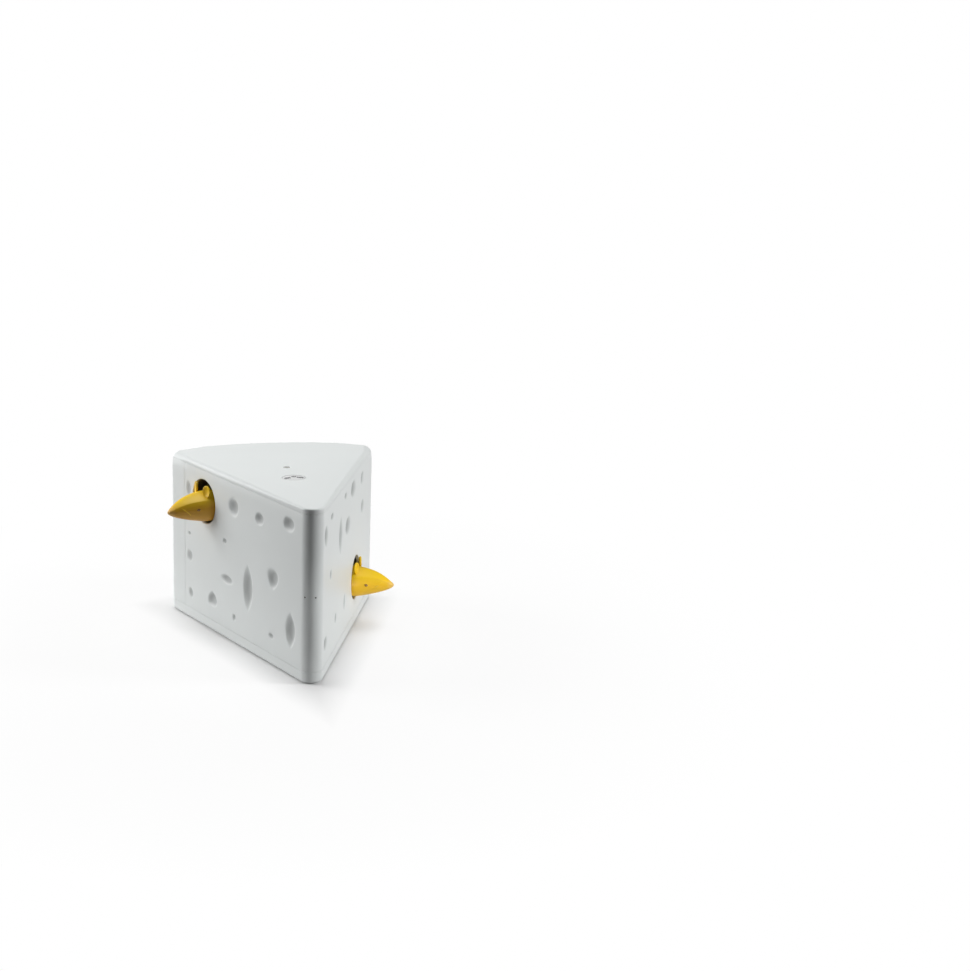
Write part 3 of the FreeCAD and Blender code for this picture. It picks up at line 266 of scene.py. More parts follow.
class Finish(Builder):
    """One material under construction."""

    def __init__(self, name):
        self.material = bpy.data.materials.new(name + "_finish")
        self.material.use_nodes = True
        super().__init__(self.material.node_tree)
        self.tree.nodes.clear()
        self.output = self.node("ShaderNodeOutputMaterial")

    def coords(self, centre=(0, 0, 0), turn=0.0):
        """Object coordinates measured from a point, turned about the vertical."""
        place = self.out(self.node("ShaderNodeTexCoord"), "Object")
        moved = self.node("ShaderNodeVectorMath", {"operation": "SUBTRACT"}, _0=place, _1=centre)
        turned = self.node("ShaderNodeVectorRotate", {"rotation_type": "Z_AXIS"},
                           Vector=self.out(moved), Angle=-turn)
        return self.out(turned)

    def axes(self, vector):
        parts = self.node("ShaderNodeSeparateXYZ", Vector=vector)
        return [self.out(parts, i) for i in range(3)]

    def noise(self, vector, scale, detail=2.0, rough=0.5):
        return self.out(self.node("ShaderNodeTexNoise", Vector=vector, Scale=scale, Detail=detail,
                                  Roughness=rough), "Fac")

    def brushed(self, vector, lines):
        """Noise drawn out into fine level lines."""
        stretched = self.node("ShaderNodeMapping", Vector=vector, Scale=(1.0, 1.0, 14.0))
        return self.noise(self.out(stretched), lines)

    def attribute(self, name):
        return self.out(self.node("ShaderNodeAttribute", {"attribute_name": name}), "Fac")

    def mix(self, share, first, second):
        """Colour first where share is 0, and second where it is 1."""
        return self.out(self.node("ShaderNodeMix", {"data_type": "RGBA"}, _0=share, _6=first,
                                  _7=second), 2)

    def bump(self, height, strength, distance):
        return self.out(self.node("ShaderNodeBump", Strength=strength, Distance=distance,
                                  Height=height))

    def surface(self, **values):
        shader = self.node("ShaderNodeBsdfPrincipled", **values)
        self.tree.links.new(shader.outputs[0], self.output.inputs["Surface"])
        return self.material


class Growth(Builder):
    """A Geometry Nodes tree under construction, with named inputs."""

    KINDS = {"size": "NodeSocketFloat", "count": "NodeSocketInt", "shape": "NodeSocketObject",
             "finish": "NodeSocketMaterial"}

    def __init__(self, name, **inputs):
        super().__init__(bpy.data.node_groups.new(name, "GeometryNodeTree"))
        self.tree.is_modifier = True
        face = self.tree.interface
        face.new_socket("Geometry", in_out="INPUT", socket_type="NodeSocketGeometry")
        self.keys = {}
        for label, kind in inputs.items():
            words = label.replace("_", " ").title()
            slot = face.new_socket(words, in_out="INPUT", socket_type=self.KINDS[kind])
            self.keys[label] = (slot.identifier, words)
        face.new_socket("Geometry", in_out="OUTPUT", socket_type="NodeSocketGeometry")
        self.source = self.node("NodeGroupInput")

    def given(self, label):
        return self.out(self.source, self.keys[label][1] if label in self.keys else label)

    def finish_with(self, geometry):
        """End the tree: real geometry with its material."""
        real = self.node("GeometryNodeRealizeInstances", Geometry=geometry)
        coated = self.node("GeometryNodeSetMaterial", Geometry=self.out(real),
                           Material=self.given("finish"))
        self.node("NodeGroupOutput", Geometry=self.out(coated))
        return self

    def grown(self, item, **values):
        """Run the tree on an item and keep the result as its plain mesh."""
        modifier = item.modifiers.new("growth", "NODES")
        modifier.node_group = self.tree
        for label, value in values.items():
            modifier[self.keys[label][0]] = value
        return flattened(item)


# Finishes

def shaded(tone, share):
    return tuple(channel * share for channel in tone[:3]) + (1.0,)


def plastic_skin(name, tone, grain):
    """What moulded plastics share: faint clouding, uneven gloss and a very fine orange peel."""
    finish = Finish(name)
    place = finish.coords()
    cloudy = finish.mix(finish.noise(place, 18.0, 3.0), tone, shaded(tone, 0.955))
    gloss = finish.noise(place, 240.0, 4.0, 0.65) * 0.10
    return finish, cloudy, gloss, finish.bump(finish.noise(place, 900.0), 0.35, grain)


def moulded_plastic(name, tone, rough, coat=0.25, grain=0.00002):
    """Injection-moulded plastic under a thin gloss."""
    finish, cloudy, gloss, peel = plastic_skin(name, tone, grain)
    return finish.surface(Base_Color=cloudy, Roughness=gloss + (rough - 0.05), Normal=peel,
                          Coat_Weight=coat, Coat_Roughness=0.12)


def cheese_plastic(name):
    """The shell's plastic: satin, and duller down in the hollows, where painted shade darkens its
    colour.
    """
    tone = colours("shell")
    finish, cloudy, gloss, peel = plastic_skin(name, tone, 0.00002)
    # deep: how far down a hollow a point lies; the darker colour there is painted shade, the extra
    # roughness is real
    deep = finish.attribute("hollow").step(0.1, 0.75)
    return finish.surface(
        Base_Color=finish.mix(deep, cloudy, shaded(tone, 0.6)),
        Roughness=gloss + 0.38 + deep * 0.15, Normal=peel, Coat_Weight=0.03, Coat_Roughness=0.3)


def nylon(name, tone):
    """Milky gear plastic with a waxy, slightly grainy skin and traces of grease."""
    finish = Finish(name)
    place = finish.coords()
    cloud = finish.noise(place, 60.0)
    grease = finish.noise(place, 170.0, 3.0).step(0.52, 0.68)
    grain = finish.noise(place, 1400.0)
    base = finish.mix(cloud, tone, shaded(tone, 0.9))
    return finish.surface(
        Base_Color=finish.mix(grease * 0.35, base, shaded(tone, 0.72)),
        Roughness=cloud * 0.14 + 0.40 - grease * 0.22, Subsurface_Weight=0.12,
        Subsurface_Scale=0.002, Normal=finish.bump(grain, 0.3, 0.00003))


def rubber(name, tone):
    """Black rubber, speckled and dull, with dust in its pores."""
    finish = Finish(name)
    place = finish.coords()
    speck = finish.noise(place, 1800.0, 3.0, 0.7)
    dust = finish.noise(place, 300.0, 4.0).step(0.5, 0.8)
    base = finish.mix(speck, shaded(tone, 0.8), shaded(tone, 1.25))
    return finish.surface(
        Base_Color=finish.mix(dust * 0.3, base, colour(120, 118, 112)),
        Roughness=speck * 0.2 + 0.62, Normal=finish.bump(speck, 0.6, 0.00006))


def metal(name, tone, rough=0.3):
    """Turned or rolled metal: fine lines, uneven polish and a little tarnish."""
    finish = Finish(name)
    place = finish.coords()
    brush = finish.brushed(place, 900.0)
    tarnish = finish.noise(place, 110.0, 4.0, 0.6)
    return finish.surface(
        Base_Color=finish.mix(tarnish, tone, shaded(tone, 0.82)), Metallic=1.0,
        Roughness=brush * 0.16 + (rough - 0.08), Normal=finish.bump(brush, 0.25, 0.00002))


def mouse_coat(name):
    """Soft yellow, paler at the nose, with a fine moulded skin; low on the body each mouse takes
    its own warmer tone, which is painted shade in darker brown on the upper mouse and painted light
    in full bright yellow on the lower mouse's shaded side.
    """
    way = name.split("_")[0]
    side, reach, height = MOUSE_SIDES[way]
    finish = Finish(name)
    spot = finish.coords(tuple(hole_at(side, reach, height)), math.atan2(-SIN, side * COS))
    out, along, up = finish.axes(spot)
    # Low on the body: painted shade on the upper mouse and painted light on the lower one, by their
    # own side colours
    low = (up * -1.0 - out * 0.12).step(-6 * MM, 1 * MM)
    nose = out.step(30 * MM, 36 * MM)
    cloud = finish.noise(spot, 90.0, 3.0)
    tone = finish.mix(low * 0.85 + cloud * 0.1, colours("mouse"), colours(way + "_side"))
    tone = finish.mix(nose * 0.6, tone, colours("tip"))
    skin = finish.noise(spot, 1600.0)
    return finish.surface(
        Base_Color=tone, Roughness=cloud * 0.12 + 0.42, Coat_Weight=0.06, Coat_Roughness=0.3,
        Normal=finish.bump(skin, 0.3, 0.00003))


def cell_sleeve(name):
    """A battery's skin by its share of the length: bright ends, a dark sleeve with a coloured
    band and two pale pinstripes, and a faint lengthwise seam."""
    finish = Finish(name)
    along = finish.attribute("along")
    round_it = finish.attribute("around")
    place = finish.coords()
    scuff = finish.noise(place, 300.0, 4.0, 0.6)
    bare = 1.0 - along.within(0.012, 0.982, 0.002)
    band = along.within(0.70, 0.982, 0.004)
    stripe = along.within(0.682, 0.690, 0.001) + along.within(0.050, 0.058, 0.001)
    seam = round_it.step(0.985, 0.99)
    base = finish.mix(scuff * 0.4, colours("cell"), shaded(colours("cell"), 0.7))
    base = finish.mix(band, base, colours("band"))
    base = finish.mix(stripe, base, colour(214, 212, 204))
    base = finish.mix(seam * 0.35, base, shaded(colours("cell"), 0.5))
    base = finish.mix(bare, base, colour(196, 196, 194))
    return finish.surface(
        Base_Color=base, Metallic=bare * 0.9 + band * 0.1, Roughness=scuff * 0.16 + 0.2,
        Coat_Weight=(1.0 - bare) * 0.4, Normal=finish.bump(scuff + seam * 4.0, 0.2, 0.00002))


def circuit(name):
    """The control board: green lacquer with copper traces and tinned pads above and below, and
    its parts underneath in their own colours."""
    finish = Finish(name)
    place = finish.coords(tuple(SHIFT))
    x, y, z = finish.axes(place)
    part = 1.0 - z.step(BOARD_TOP - BOARD_THICK - 0.1 * MM, BOARD_TOP - BOARD_THICK)
    grid = finish.node("ShaderNodeTexBrick", {"offset": 0.31, "offset_frequency": 3},
                       Vector=place, Scale=1.0, Brick_Width=8.2 * MM, Row_Height=2.1 * MM,
                       Mortar_Size=0.35 * MM, Mortar_Smooth=0.1)
    trace = finish.out(grid, "Fac")
    dots = finish.node("ShaderNodeTexVoronoi", {"feature": "F1"}, Vector=place, Scale=190.0,
                       Randomness=0.35)
    pad = 1.0 - finish.out(dots, "Distance").step(0.16, 0.2)
    weave = finish.noise(place, 700.0)
    green = finish.mix(weave, colours("board"), shaded(colours("board"), 0.75))
    base = finish.mix(trace * 0.6, green, shaded(colours("board"), 1.9))
    base = finish.mix(pad, base, colour(198, 196, 186))
    drum = 1.0 - x.step(-7.5 * MM, -7.0 * MM)
    plug = x.step(2.6 * MM, 2.9 * MM) * (1.0 - y.step(104 * MM, 104.4 * MM))
    chip = colour(30, 30, 32)
    under = finish.mix(plug, finish.mix(drum, chip, colour(36, 40, 70)), colour(224, 220, 205))
    base = finish.mix(part, base, under)
    return finish.surface(
        Base_Color=base, Roughness=weave * 0.1 + 0.3 - pad * 0.1,
        Metallic=pad * (1.0 - part) * 0.8, Coat_Weight=(1.0 - part) * 0.3,
        Normal=finish.bump(trace + pad, 0.4, 0.00004))


def motor_can(name):
    """A plated motor can: steel with rolled lines, a black end cap below and a brass bush."""
    finish = Finish(name)
    axis = UPPER_AXIS if name.startswith("upper") else LOWER_AXIS
    place = finish.coords((0, 0, axis - DECK_DROP))
    z = finish.axes(place)[2]
    cap = 1.0 - z.step(2.6 * MM, 2.7 * MM)
    bush = z.step(18.85 * MM, 18.95 * MM)
    ring = z.within(3.2 * MM, 3.5 * MM, 0.05 * MM) + z.within(16.2 * MM, 16.5 * MM, 0.05 * MM)
    brush = finish.brushed(place, 500.0)
    base = finish.mix(brush, colour(190, 192, 196), colour(160, 162, 168))
    base = finish.mix(cap, base, colour(34, 34, 36))
    base = finish.mix(bush, base, colour(200, 165, 90))
    return finish.surface(
        Base_Color=base, Metallic=1.0 - cap, Roughness=brush * 0.16 + 0.22 + cap * 0.2,
        Normal=finish.bump(brush * 0.3 + ring * 2.0, 0.4, 0.00005))


def printed(name, tone):
    """Screen-printed ink: dull, with tiny breaks."""
    finish = Finish(name)
    place = finish.coords()
    breaks = finish.noise(place, 2600.0, 3.0)
    return finish.surface(
        Base_Color=finish.mix(breaks, tone, shaded(tone, 1.35)), Roughness=breaks * 0.2 + 0.42,
        Specular_IOR_Level=0.1, Normal=finish.bump(breaks, 0.3, 0.00001))


# What makes each finish, its colour, as a setting's name or a display colour, and other values
FINISHES = {
    "shell_white": [cheese_plastic],
    "button_white": [moulded_plastic, "button", 0.25],
    "lens_dark": [moulded_plastic, "lens", 0.08, 0.8],
    "mouse_yellow": [moulded_plastic, "mouse", 0.3],
    "upper_mouse_coat": [mouse_coat],
    "lower_mouse_coat": [mouse_coat],
    "eye_brown": [moulded_plastic, "eye", 0.2, 0.5],
    # The creases' paler yellow is a painted highlight
    "crease_pale": [lambda n, tone: moulded_plastic(n, shaded(tone, 1.12), 0.3), "mouse"],
    "sign_ink": [printed, "sign"],
    "grey_plastic": [moulded_plastic, "grey", 0.42, 0.0, 0.00005],
    "black_plastic": [moulded_plastic, "black", 0.4, 0.0, 0.00004],
    "gear_nylon": [nylon, "gear"],
    "rubber_black": [rubber, "rubber"],
    "screw_steel": [metal, (196, 197, 200)],
    "axle_steel": [metal, (205, 206, 208), 0.22],
    "upper_motor_steel": [motor_can],
    "lower_motor_steel": [motor_can],
    "board_green": [circuit],
    "diode_amber": [moulded_plastic, (222, 130, 30), 0.1, 0.6],
    "cell_wrap": [cell_sleeve],
    "contact_steel": [metal, (204, 204, 198)],
    "brass": [metal, (205, 170, 90)],
}
MATERIALS = {}


def material(name):
    """The finish of that name, made when it is first asked for."""
    if name not in MATERIALS:
        make, *values = FINISHES[name]
        if values:
            values[0] = colours(values[0]) if isinstance(values[0], str) else colour(*values[0])
        MATERIALS[name] = make(name, *values)
    return MATERIALS[name]


# CAD nodes that stay as they are, by the finish they take
BARE_NODES = {
    "grey_plastic": ["drive_tower"], "black_plastic": ["button_switch", "switch_plunger"],
    "board_green": ["control_board"], "diode_amber": ["lamp_diode"],
}
for way in MOUSE_SIDES:
    for finish_name, parts in (("gear_nylon", ("carriage", "rack_gear", "idler_gear")),
                               ("black_plastic", ("drive_frame", "gear_roof")),
                               ("brass", ("motor_pinion",)), (way + "_motor_steel", ("motor",)),
                               ("axle_steel", ("axles",))):
        BARE_NODES.setdefault(finish_name, []).extend("%s_%s" % (way, part) for part in parts)
# CAD nodes that a finished piece hides, which still take a finish
HIDDEN_NODES = {
    "shell_white": ["front_shell", "rear_shell", "top_cover", "base_tray", "battery_door"],
    "button_white": ["power_button"], "lens_dark": ["lamp_lens"],
    "mouse_yellow": ["upper_mouse", "lower_mouse"], "rubber_black": ["rubber_feet"],
    "screw_steel": ["housing_screws", "tower_screws", "board_screws", "door_screw",
                    "upper_mouse_screw", "lower_mouse_screw", "upper_drive_screws",
                    "lower_drive_screws"],
    "contact_steel": ["battery_contacts"], "cell_wrap": ["battery_cells"],
}


def coat_nodes():
    for groups in (BARE_NODES, HIDDEN_NODES):
        for name, nodes in groups.items():
            for node in nodes:
                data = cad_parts[node].data
                data.materials.clear()
                data.materials.append(material(name))


# The outline

# It is followed from the left upright seam round the nose, the right face, the right corner, the
# back and the left corner. Steps between its points, the spans that are back corners, and how far
# along it the cover's roundings at the back corners and at the nose pass into its usual one
FLAT_STEP = 5 * MM
CURVE_STEP = 0.5 * MM
BACK_CORNERS = (4, 6)
CORNER_BLEND = 28 * MM
NOSE_BLEND = 150 * MM


class Outline:
    """Point and outward direction by the distance walked along the wedge's outer line."""

    def __init__(self):
        self.spans = []
        flat = NOSE_RADIUS * COS / SIN
        last = math.sqrt((WEDGE_RADIUS - CORNER_RADIUS) ** 2 - CORNER_RADIUS ** 2)
        corner = Vector((last * SIN - CORNER_RADIUS * COS, last * COS + CORNER_RADIUS * SIN, 0))
        turn = math.atan2(corner.y, corner.x)
        nose = Vector((0, NOSE_RADIUS / SIN, 0))
        right = -WEDGE_HALF
        left = math.pi + WEDGE_HALF
        self.line(-1, PANEL_REACH, flat)
        self.arc(nose, NOSE_RADIUS, left, right + 2 * math.pi)
        self.line(1, flat, PANEL_REACH)
        self.front = self.length()
        self.line(1, PANEL_REACH, last)
        self.arc(corner, CORNER_RADIUS, right, turn)
        self.arc(Vector(), WEDGE_RADIUS, turn, math.pi - turn)
        self.arc(Vector((-corner.x, corner.y, 0)), CORNER_RADIUS, math.pi - turn, left)
        self.line(-1, last, PANEL_REACH)
        self.ends = [sum(span[0] for span in self.spans[:i]) for i in range(len(self.spans) + 1)]

    def length(self):
        return sum(span[0] for span in self.spans)

    def line(self, side, start, end):
        normal = Vector((side * COS, -SIN, 0))
        along = Vector((side * SIN, COS, 0))
        length = abs(end - start)
        self.spans.append((length, lambda t: (along * (start + (end - start) * t), normal),
                           FLAT_STEP))

    def arc(self, centre, radius, start, end):
        def at(t):
            angle = start + (end - start) * t
            normal = Vector((math.cos(angle), math.sin(angle), 0))
            return centre + normal * radius, normal
        self.spans.append((abs(end - start) * radius, at, max(CURVE_STEP, radius * 0.02)))

    def at(self, walked):
        """The point on the line, in the row frame, and its outward direction."""
        for length, place, step in self.spans:
            if walked <= length + 1e-9:
                point, normal = place(min(max(walked / length, 0), 1))
                return point + SHIFT, normal
            walked -= length
        raise ValueError("the walk is longer than the outline")

    def stations(self, start, end):
        """Distances from start to end, closer together on tight curves."""
        found = [start, end]
        at = 0
        for length, place, step in self.spans:
            count = max(1, math.ceil(length / step))
            found += [at + length * i / count for i in range(count + 1)]
            at += length
        return thinned((d for d in found if start <= d <= end), 0.05 * MM)


def thinned(values, least):
    """Sorted values without those that nearly repeat the one before."""
    found = sorted(set(values))
    return [v for i, v in enumerate(found) if i == 0 or v - found[i - 1] > least]


OUTLINE = Outline()
NOSE_START, NOSE_END = OUTLINE.ends[1:3]


def walk_of(side, reach):
    """The distance walked to a point on a side face, by its reach from the apex."""
    if side < 0:
        return PANEL_REACH - reach
    return NOSE_END + reach - NOSE_RADIUS * COS / SIN


def corner_fall(walked, height):
    """How far the housing falls away at its back corners, which are rounder than its other edges;
    and the share of that rounding at this place."""
    ends, radius = OUTLINE.ends, sizes().corner_round
    off = min(max(ends[i] - walked, walked - ends[i + 1], 0) for i in BACK_CORNERS)
    share = max(0, 1 - off / CORNER_BLEND)
    share = share ** 2 * (3 - 2 * share)
    rise = max(0, height - TOTAL_HEIGHT + radius)
    return share * (radius - math.sqrt(radius ** 2 - rise ** 2)), share


def eased(distance, radius):
    """How far a rounded edge falls away, by the distance from that edge."""
    if distance >= radius:
        return 0
    return radius - math.sqrt(radius ** 2 - (radius - max(distance, 0)) ** 2)


# Hollows: how soft rims and pointed ends are, a small one's depth by its smaller side, the gaps
# between its points across and along the rings, and the shares up to which points are its own and
# places feel it
RIM_SOFT = 0.07
POINT_SOFT = 0.0004
SHALLOW = 0.2
RING_GAP, ROUND_GAP = 0.7 * MM, 1.1 * MM
SCOOP_CLEAR, SCOOP_NEAR = 1.33, 1.4


class Scoop:
    """A smooth hollow with a soft rim; ends may be pointed and one end wider."""

    def __init__(self, at, half, depth, tilt=0, point=0, swell=0):
        self.at = at
        self.half = half
        self.depth = depth
        self.turn = math.radians(tilt)
        self.point = point
        self.swell = swell

    def share(self, place):
        """0 in the middle of the mouth and 1 on its edge."""
        off = place - self.at
        across = (off.x * math.cos(self.turn) + off.y * math.sin(self.turn)) / self.half.x
        up = (off.y * math.cos(self.turn) - off.x * math.sin(self.turn)) / self.half.y
        across /= 1 + self.swell * max(-1, min(1, up))
        lens = math.sqrt(across ** 2 + POINT_SOFT) * self.point
        round_part = up ** 2 + (1 - self.point) * across ** 2
        return (lens + math.sqrt(lens ** 2 + 4 * round_part)) / 2

    def fall(self, place):
        rise = 1 - self.share(place) ** 2
        return self.depth * (rise + math.sqrt(rise ** 2 + RIM_SOFT ** 2)) / 2

    def ring_points(self):
        """Points for the mesh: rings from the middle to just outside the rim."""
        rings = max(5, round(min(self.half) / RING_GAP))
        shares = [i / rings for i in range(rings)] + [0.97, 1.04, 1.12, 1.25]
        count = max(16, round(2 * math.pi * max(self.half) / ROUND_GAP))
        found = []
        for share in shares:
            for i in range(count if share else 1):
                angle = 2 * math.pi * (i + 0.5 * (len(found) % 2)) / count
                found.append(self.on_ring(angle, share))
        return found

    def on_ring(self, angle, share):
        """The place at an angle whose share is as asked, found by walking outwards."""
        way = Vector((math.cos(angle) * self.half.x, math.sin(angle) * self.half.y))
        turned = Vector((way.x * math.cos(self.turn) - way.y * math.sin(self.turn),
                         way.x * math.sin(self.turn) + way.y * math.cos(self.turn)))
        low, high = 0.0, 2.2
        for _ in range(18):
            half = (low + high) / 2
            if self.share(self.at + turned * half) < share:
                low = half
            else:
                high = half
        return self.at + turned * low


def cheese_scoop(side, row):
    reach, height, width, tall, tilt, point, swell = row
    deepest = sizes().hollow_depth
    if (reach + width / 2) * MM > PANEL_REACH - 2 * TONGUE_REACH:
        deepest = sizes().hollow_near_seam
    return Scoop(Vector((walk_of(side, reach * MM), height * MM)),
                 Vector((width, tall)) * MM / 2, min(deepest, SHALLOW * min(width, tall) * MM),
                 tilt, point, swell)


def nose_pin(degrees):
    walked = (NOSE_START + NOSE_END) / 2 + NOSE_RADIUS * math.radians(degrees)
    return Scoop(Vector((walked, PIN_HEIGHT)), Vector((PIN_RADIUS, PIN_RADIUS)),
                 sizes().pin_depth)


# Meshes

def triangles(points, edges, keep):
    """Triangles over flat points that follow the given edges; keep() judges a triangle's middle."""
    verts, _, faces, *rest = delaunay_2d_cdt(points, edges, [], 0, 1e-7, False)
    kept = [face for face in faces if keep(sum((verts[i] for i in face), Vector((0, 0))) / 3)]
    return verts, kept


def loop_edges(start, count):
    return [(start + i, start + (i + 1) % count) for i in range(count)]


def circle_points(centre, radius, count):
    return [centre + Vector((math.cos(a), math.sin(a))) * radius
            for a in (2 * math.pi * i / count for i in range(count))]


def band_faces(start, count):
    """The quads between two rings of points that follow each other."""
    return [(start + i, start + (i + 1) % count, start + count + (i + 1) % count,
             start + count + i) for i in range(count)]


def opened(mesh):
    work = bmesh.new()
    work.from_mesh(mesh)
    return work


def closed(work, mesh):
    work.to_mesh(mesh)
    work.free()
    return mesh


def joined(node):
    """A CAD node's mesh, opened for editing, with its loose triangles joined."""
    work = opened(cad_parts[node].data)
    bmesh.ops.remove_doubles(work, verts=work.verts, dist=0.001 * MM)
    return work


def new_mesh(name, verts, faces, merge=0.0, outward=False, hollow=None):
    """A mesh of these corners, without those that no face uses; hollow says how deep in a hollow
    each corner is, from 0 to 1."""
    work = bmesh.new()
    layer = work.verts.layers.float.new("hollow") if hollow else None
    corners = {}
    for face in faces:
        for i in face:
            if i not in corners:
                corners[i] = work.verts.new(verts[i])
                if hollow:
                    corners[i][layer] = hollow[i]
        work.faces.new([corners[i] for i in face])
    if merge:
        bmesh.ops.remove_doubles(work, verts=work.verts, dist=merge)
    if outward:
        bmesh.ops.recalc_face_normals(work, faces=work.faces)
    return closed(work, bpy.data.meshes.new(name))


def inside(place, loop):
    """Whether a flat point is inside a closed loop of points."""
    found = False
    for a, b in zip(loop, loop[1:] + loop[:1]):
        if (a.y > place.y) != (b.y > place.y):
            if place.x < a.x + (place.y - a.y) / (b.y - a.y) * (b.x - a.x):
                found = not found
    return found


def smooth(mesh, angle=32):
    mesh.shade_smooth()
    mesh.set_sharp_from_angle(angle=math.radians(angle))


def linked(name, data):
    item = bpy.data.objects.new(name, data)
    bpy.context.scene.collection.objects.link(item)
    return item


def flattened(item):
    """Apply the item's modifiers, so that it keeps only a plain mesh."""
    view = bpy.context.evaluated_depsgraph_get()
    mesh = bpy.data.meshes.new_from_object(item.evaluated_get(view))
    old = item.data
    item.modifiers.clear()
    item.data = mesh
    if old.users == 0:
        bpy.data.meshes.remove(old)
    return item


def modified(item, kind, **settings):
    """Apply one modifier with these settings."""
    modifier = item.modifiers.new("change", kind)
    for name, value in settings.items():
        setattr(modifier, name, value)
    return flattened(item)


def lathe(name, profile, ring, angle=32):
    """A closed solid from a flat ring of unit size and a profile of (scale, height)."""
    count = len(ring)
    verts = [Vector((p.x * scale, p.y * scale, height)) for scale, height in profile for p in ring]
    faces = [face for row in range(len(profile) - 1) for face in band_faces(row * count, count)]
    mesh = new_mesh(name, verts, faces, 1e-7, True)
    smooth(mesh, angle)
    return mesh


def circle(count):
    return circle_points(Vector((0, 0)), 1, count)


def turned(name, profile, count, at=(0, 0)):
    """A round piece on an upright axis."""
    item = linked(name, lathe(name, profile, circle(count)))
    item.data.transform(Matrix.Translation((at[0], at[1], 0)))
    return item


def add_holes(points, edges, holes, count, rings):
    """Points round each hole: its edge, which stays a line, and wider rings for its rounding."""
    for at, radius in holes:
        edges += loop_edges(len(points), count)
        for wider in rings:
            points += circle_points(at, radius + wider * MM, count)


def clear_of(place, holes, margin=0):
    return all((place - at).length > radius + margin for at, radius in holes)


def merged_copy(node, name, ease=0.0):
    """A CAD node's mesh with its flat areas whole and its edges eased."""
    work = joined(node)
    bmesh.ops.dissolve_limit(work, angle_limit=math.radians(0.4), verts=work.verts,
                             edges=work.edges)
    item = linked(name, closed(work, bpy.data.meshes.new(name)))
    if ease:
        modified(item, "BEVEL", width=ease, segments=2, limit_method="ANGLE",
                 angle_limit=math.radians(40))
    smooth(item.data)
    return modified(item, "WEIGHTED_NORMAL", weight=100, keep_sharp=True)


def solids_of(node):
    """The low and high corners of each separate solid in a CAD node, in order along X."""
    work = joined(node)
    left = set(work.verts)
    found = []
    while left:
        group, edge_of = set(), [left.pop()]
        while edge_of:
            vertex = edge_of.pop()
            group.add(vertex)
            for edge in vertex.link_edges:
                other = edge.other_vert(vertex)
                if other in left:
                    left.remove(other)
                    edge_of.append(other)
        found.append([Vector([pick(v.co[i] for v in group) for i in range(3)])
                      for pick in (min, max)])
    work.free()
    return sorted(found, key=lambda box: (round(box[0].x, 4), round(box[0].y, 4), box[0].z))


def dress(item, body, slot, finish=None, nodes=()):
    """Finish a piece: its material, by finish or else by slot, the body it rides on, and the nodes
    it stands for, which it hides.
    """
    item.data.materials.clear()
    item.data.materials.append(material(finish or slot))
    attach(item, body)
    if nodes:
        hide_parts(*nodes)
    return item


# Shapes that are set down many times

def placed_points(name, places):
    """Bare points for a tree, each with the turn that aims local Z along its direction."""
    mesh = bpy.data.meshes.new(name)
    mesh.from_pydata([at for at, direction in places], [], [])
    aims = mesh.attributes.new("aim", "FLOAT_VECTOR", "POINT")
    for item, (at, direction) in zip(aims.data, places):
        item.vector = UP.rotation_difference(direction).to_euler()
    return linked(name, mesh)


def stamp_tree():
    """At every point, a top shape and a stem on one axis, stretched to size and spun by chance."""
    tree = Growth("stamped", top_shape="shape", top_width="size", top_height="size",
                  stem_shape="shape", stem_width="size", stem_length="size", spin="size",
                  seed="count", finish="finish")
    aim = tree.node("GeometryNodeInputNamedAttribute", {"data_type": "FLOAT_VECTOR"}, Name="aim")
    chance = tree.node("FunctionNodeRandomValue", {"data_type": "FLOAT"}, _2=0.0,
                       _3=tree.given("spin"), _8=tree.given("seed"))
    spin = tree.node("ShaderNodeCombineXYZ", Z=tree.out(chance, 1))
    turn = tree.node("FunctionNodeRotateRotation", {"rotation_space": "LOCAL"},
                     Rotation=tree.out(aim), Rotate_By=tree.out(spin))
    shapes = []
    for part, tall in (("top", "height"), ("stem", "length")):
        width = tree.given(part + "_width")
        stretch = tree.node("ShaderNodeCombineXYZ", X=width, Y=width,
                            Z=tree.given("%s_%s" % (part, tall)))
        shape = tree.node("GeometryNodeObjectInfo", {"transform_space": "ORIGINAL"},
                          Object=tree.given(part + "_shape"))
        set_down = tree.node("GeometryNodeInstanceOnPoints", Points=tree.given("Geometry"),
                             Instance=tree.out(shape, "Geometry"), Rotation=tree.out(turn),
                             Scale=tree.out(stretch))
        shapes.append(tree.out(set_down))
    return tree.finish_with(tree.out(tree.node("GeometryNodeJoinGeometry", Geometry=shapes)))


def coil_tree():
    """At every point, a tapered spring that stands on it."""
    tree = Growth("coiled", turns="size", foot_radius="size", tip_radius="size", length="size",
                  wire="size", finish="finish")
    aim = tree.node("GeometryNodeInputNamedAttribute", {"data_type": "FLOAT_VECTOR"}, Name="aim")
    path = tree.node("GeometryNodeCurveSpiral", Resolution=28, Rotations=tree.given("turns"),
                     Start_Radius=tree.given("foot_radius"), End_Radius=tree.given("tip_radius"),
                     Height=tree.given("length"))
    thick = tree.node("GeometryNodeCurvePrimitiveCircle", Resolution=10, Radius=tree.given("wire"))
    spring = tree.node("GeometryNodeCurveToMesh", Curve=tree.out(path),
                       Profile_Curve=tree.out(thick), Fill_Caps=True)
    set_down = tree.node("GeometryNodeInstanceOnPoints", Points=tree.given("Geometry"),
                         Instance=tree.out(spring), Rotation=tree.out(aim))
    return tree.finish_with(tree.out(set_down))


def pipe_tree():
    """A round bead along the edges of a mesh."""
    tree = Growth("beaded", radius="size", finish="finish")
    path = tree.node("GeometryNodeMeshToCurve", Mesh=tree.given("Geometry"))
    thick = tree.node("GeometryNodeCurvePrimitiveCircle", Resolution=8, Radius=tree.given("radius"))
    bead = tree.node("GeometryNodeCurveToMesh", Curve=tree.out(path),
                     Profile_Curve=tree.out(thick), Fill_Caps=True)
    return tree.finish_with(tree.out(bead))


TREES = {}


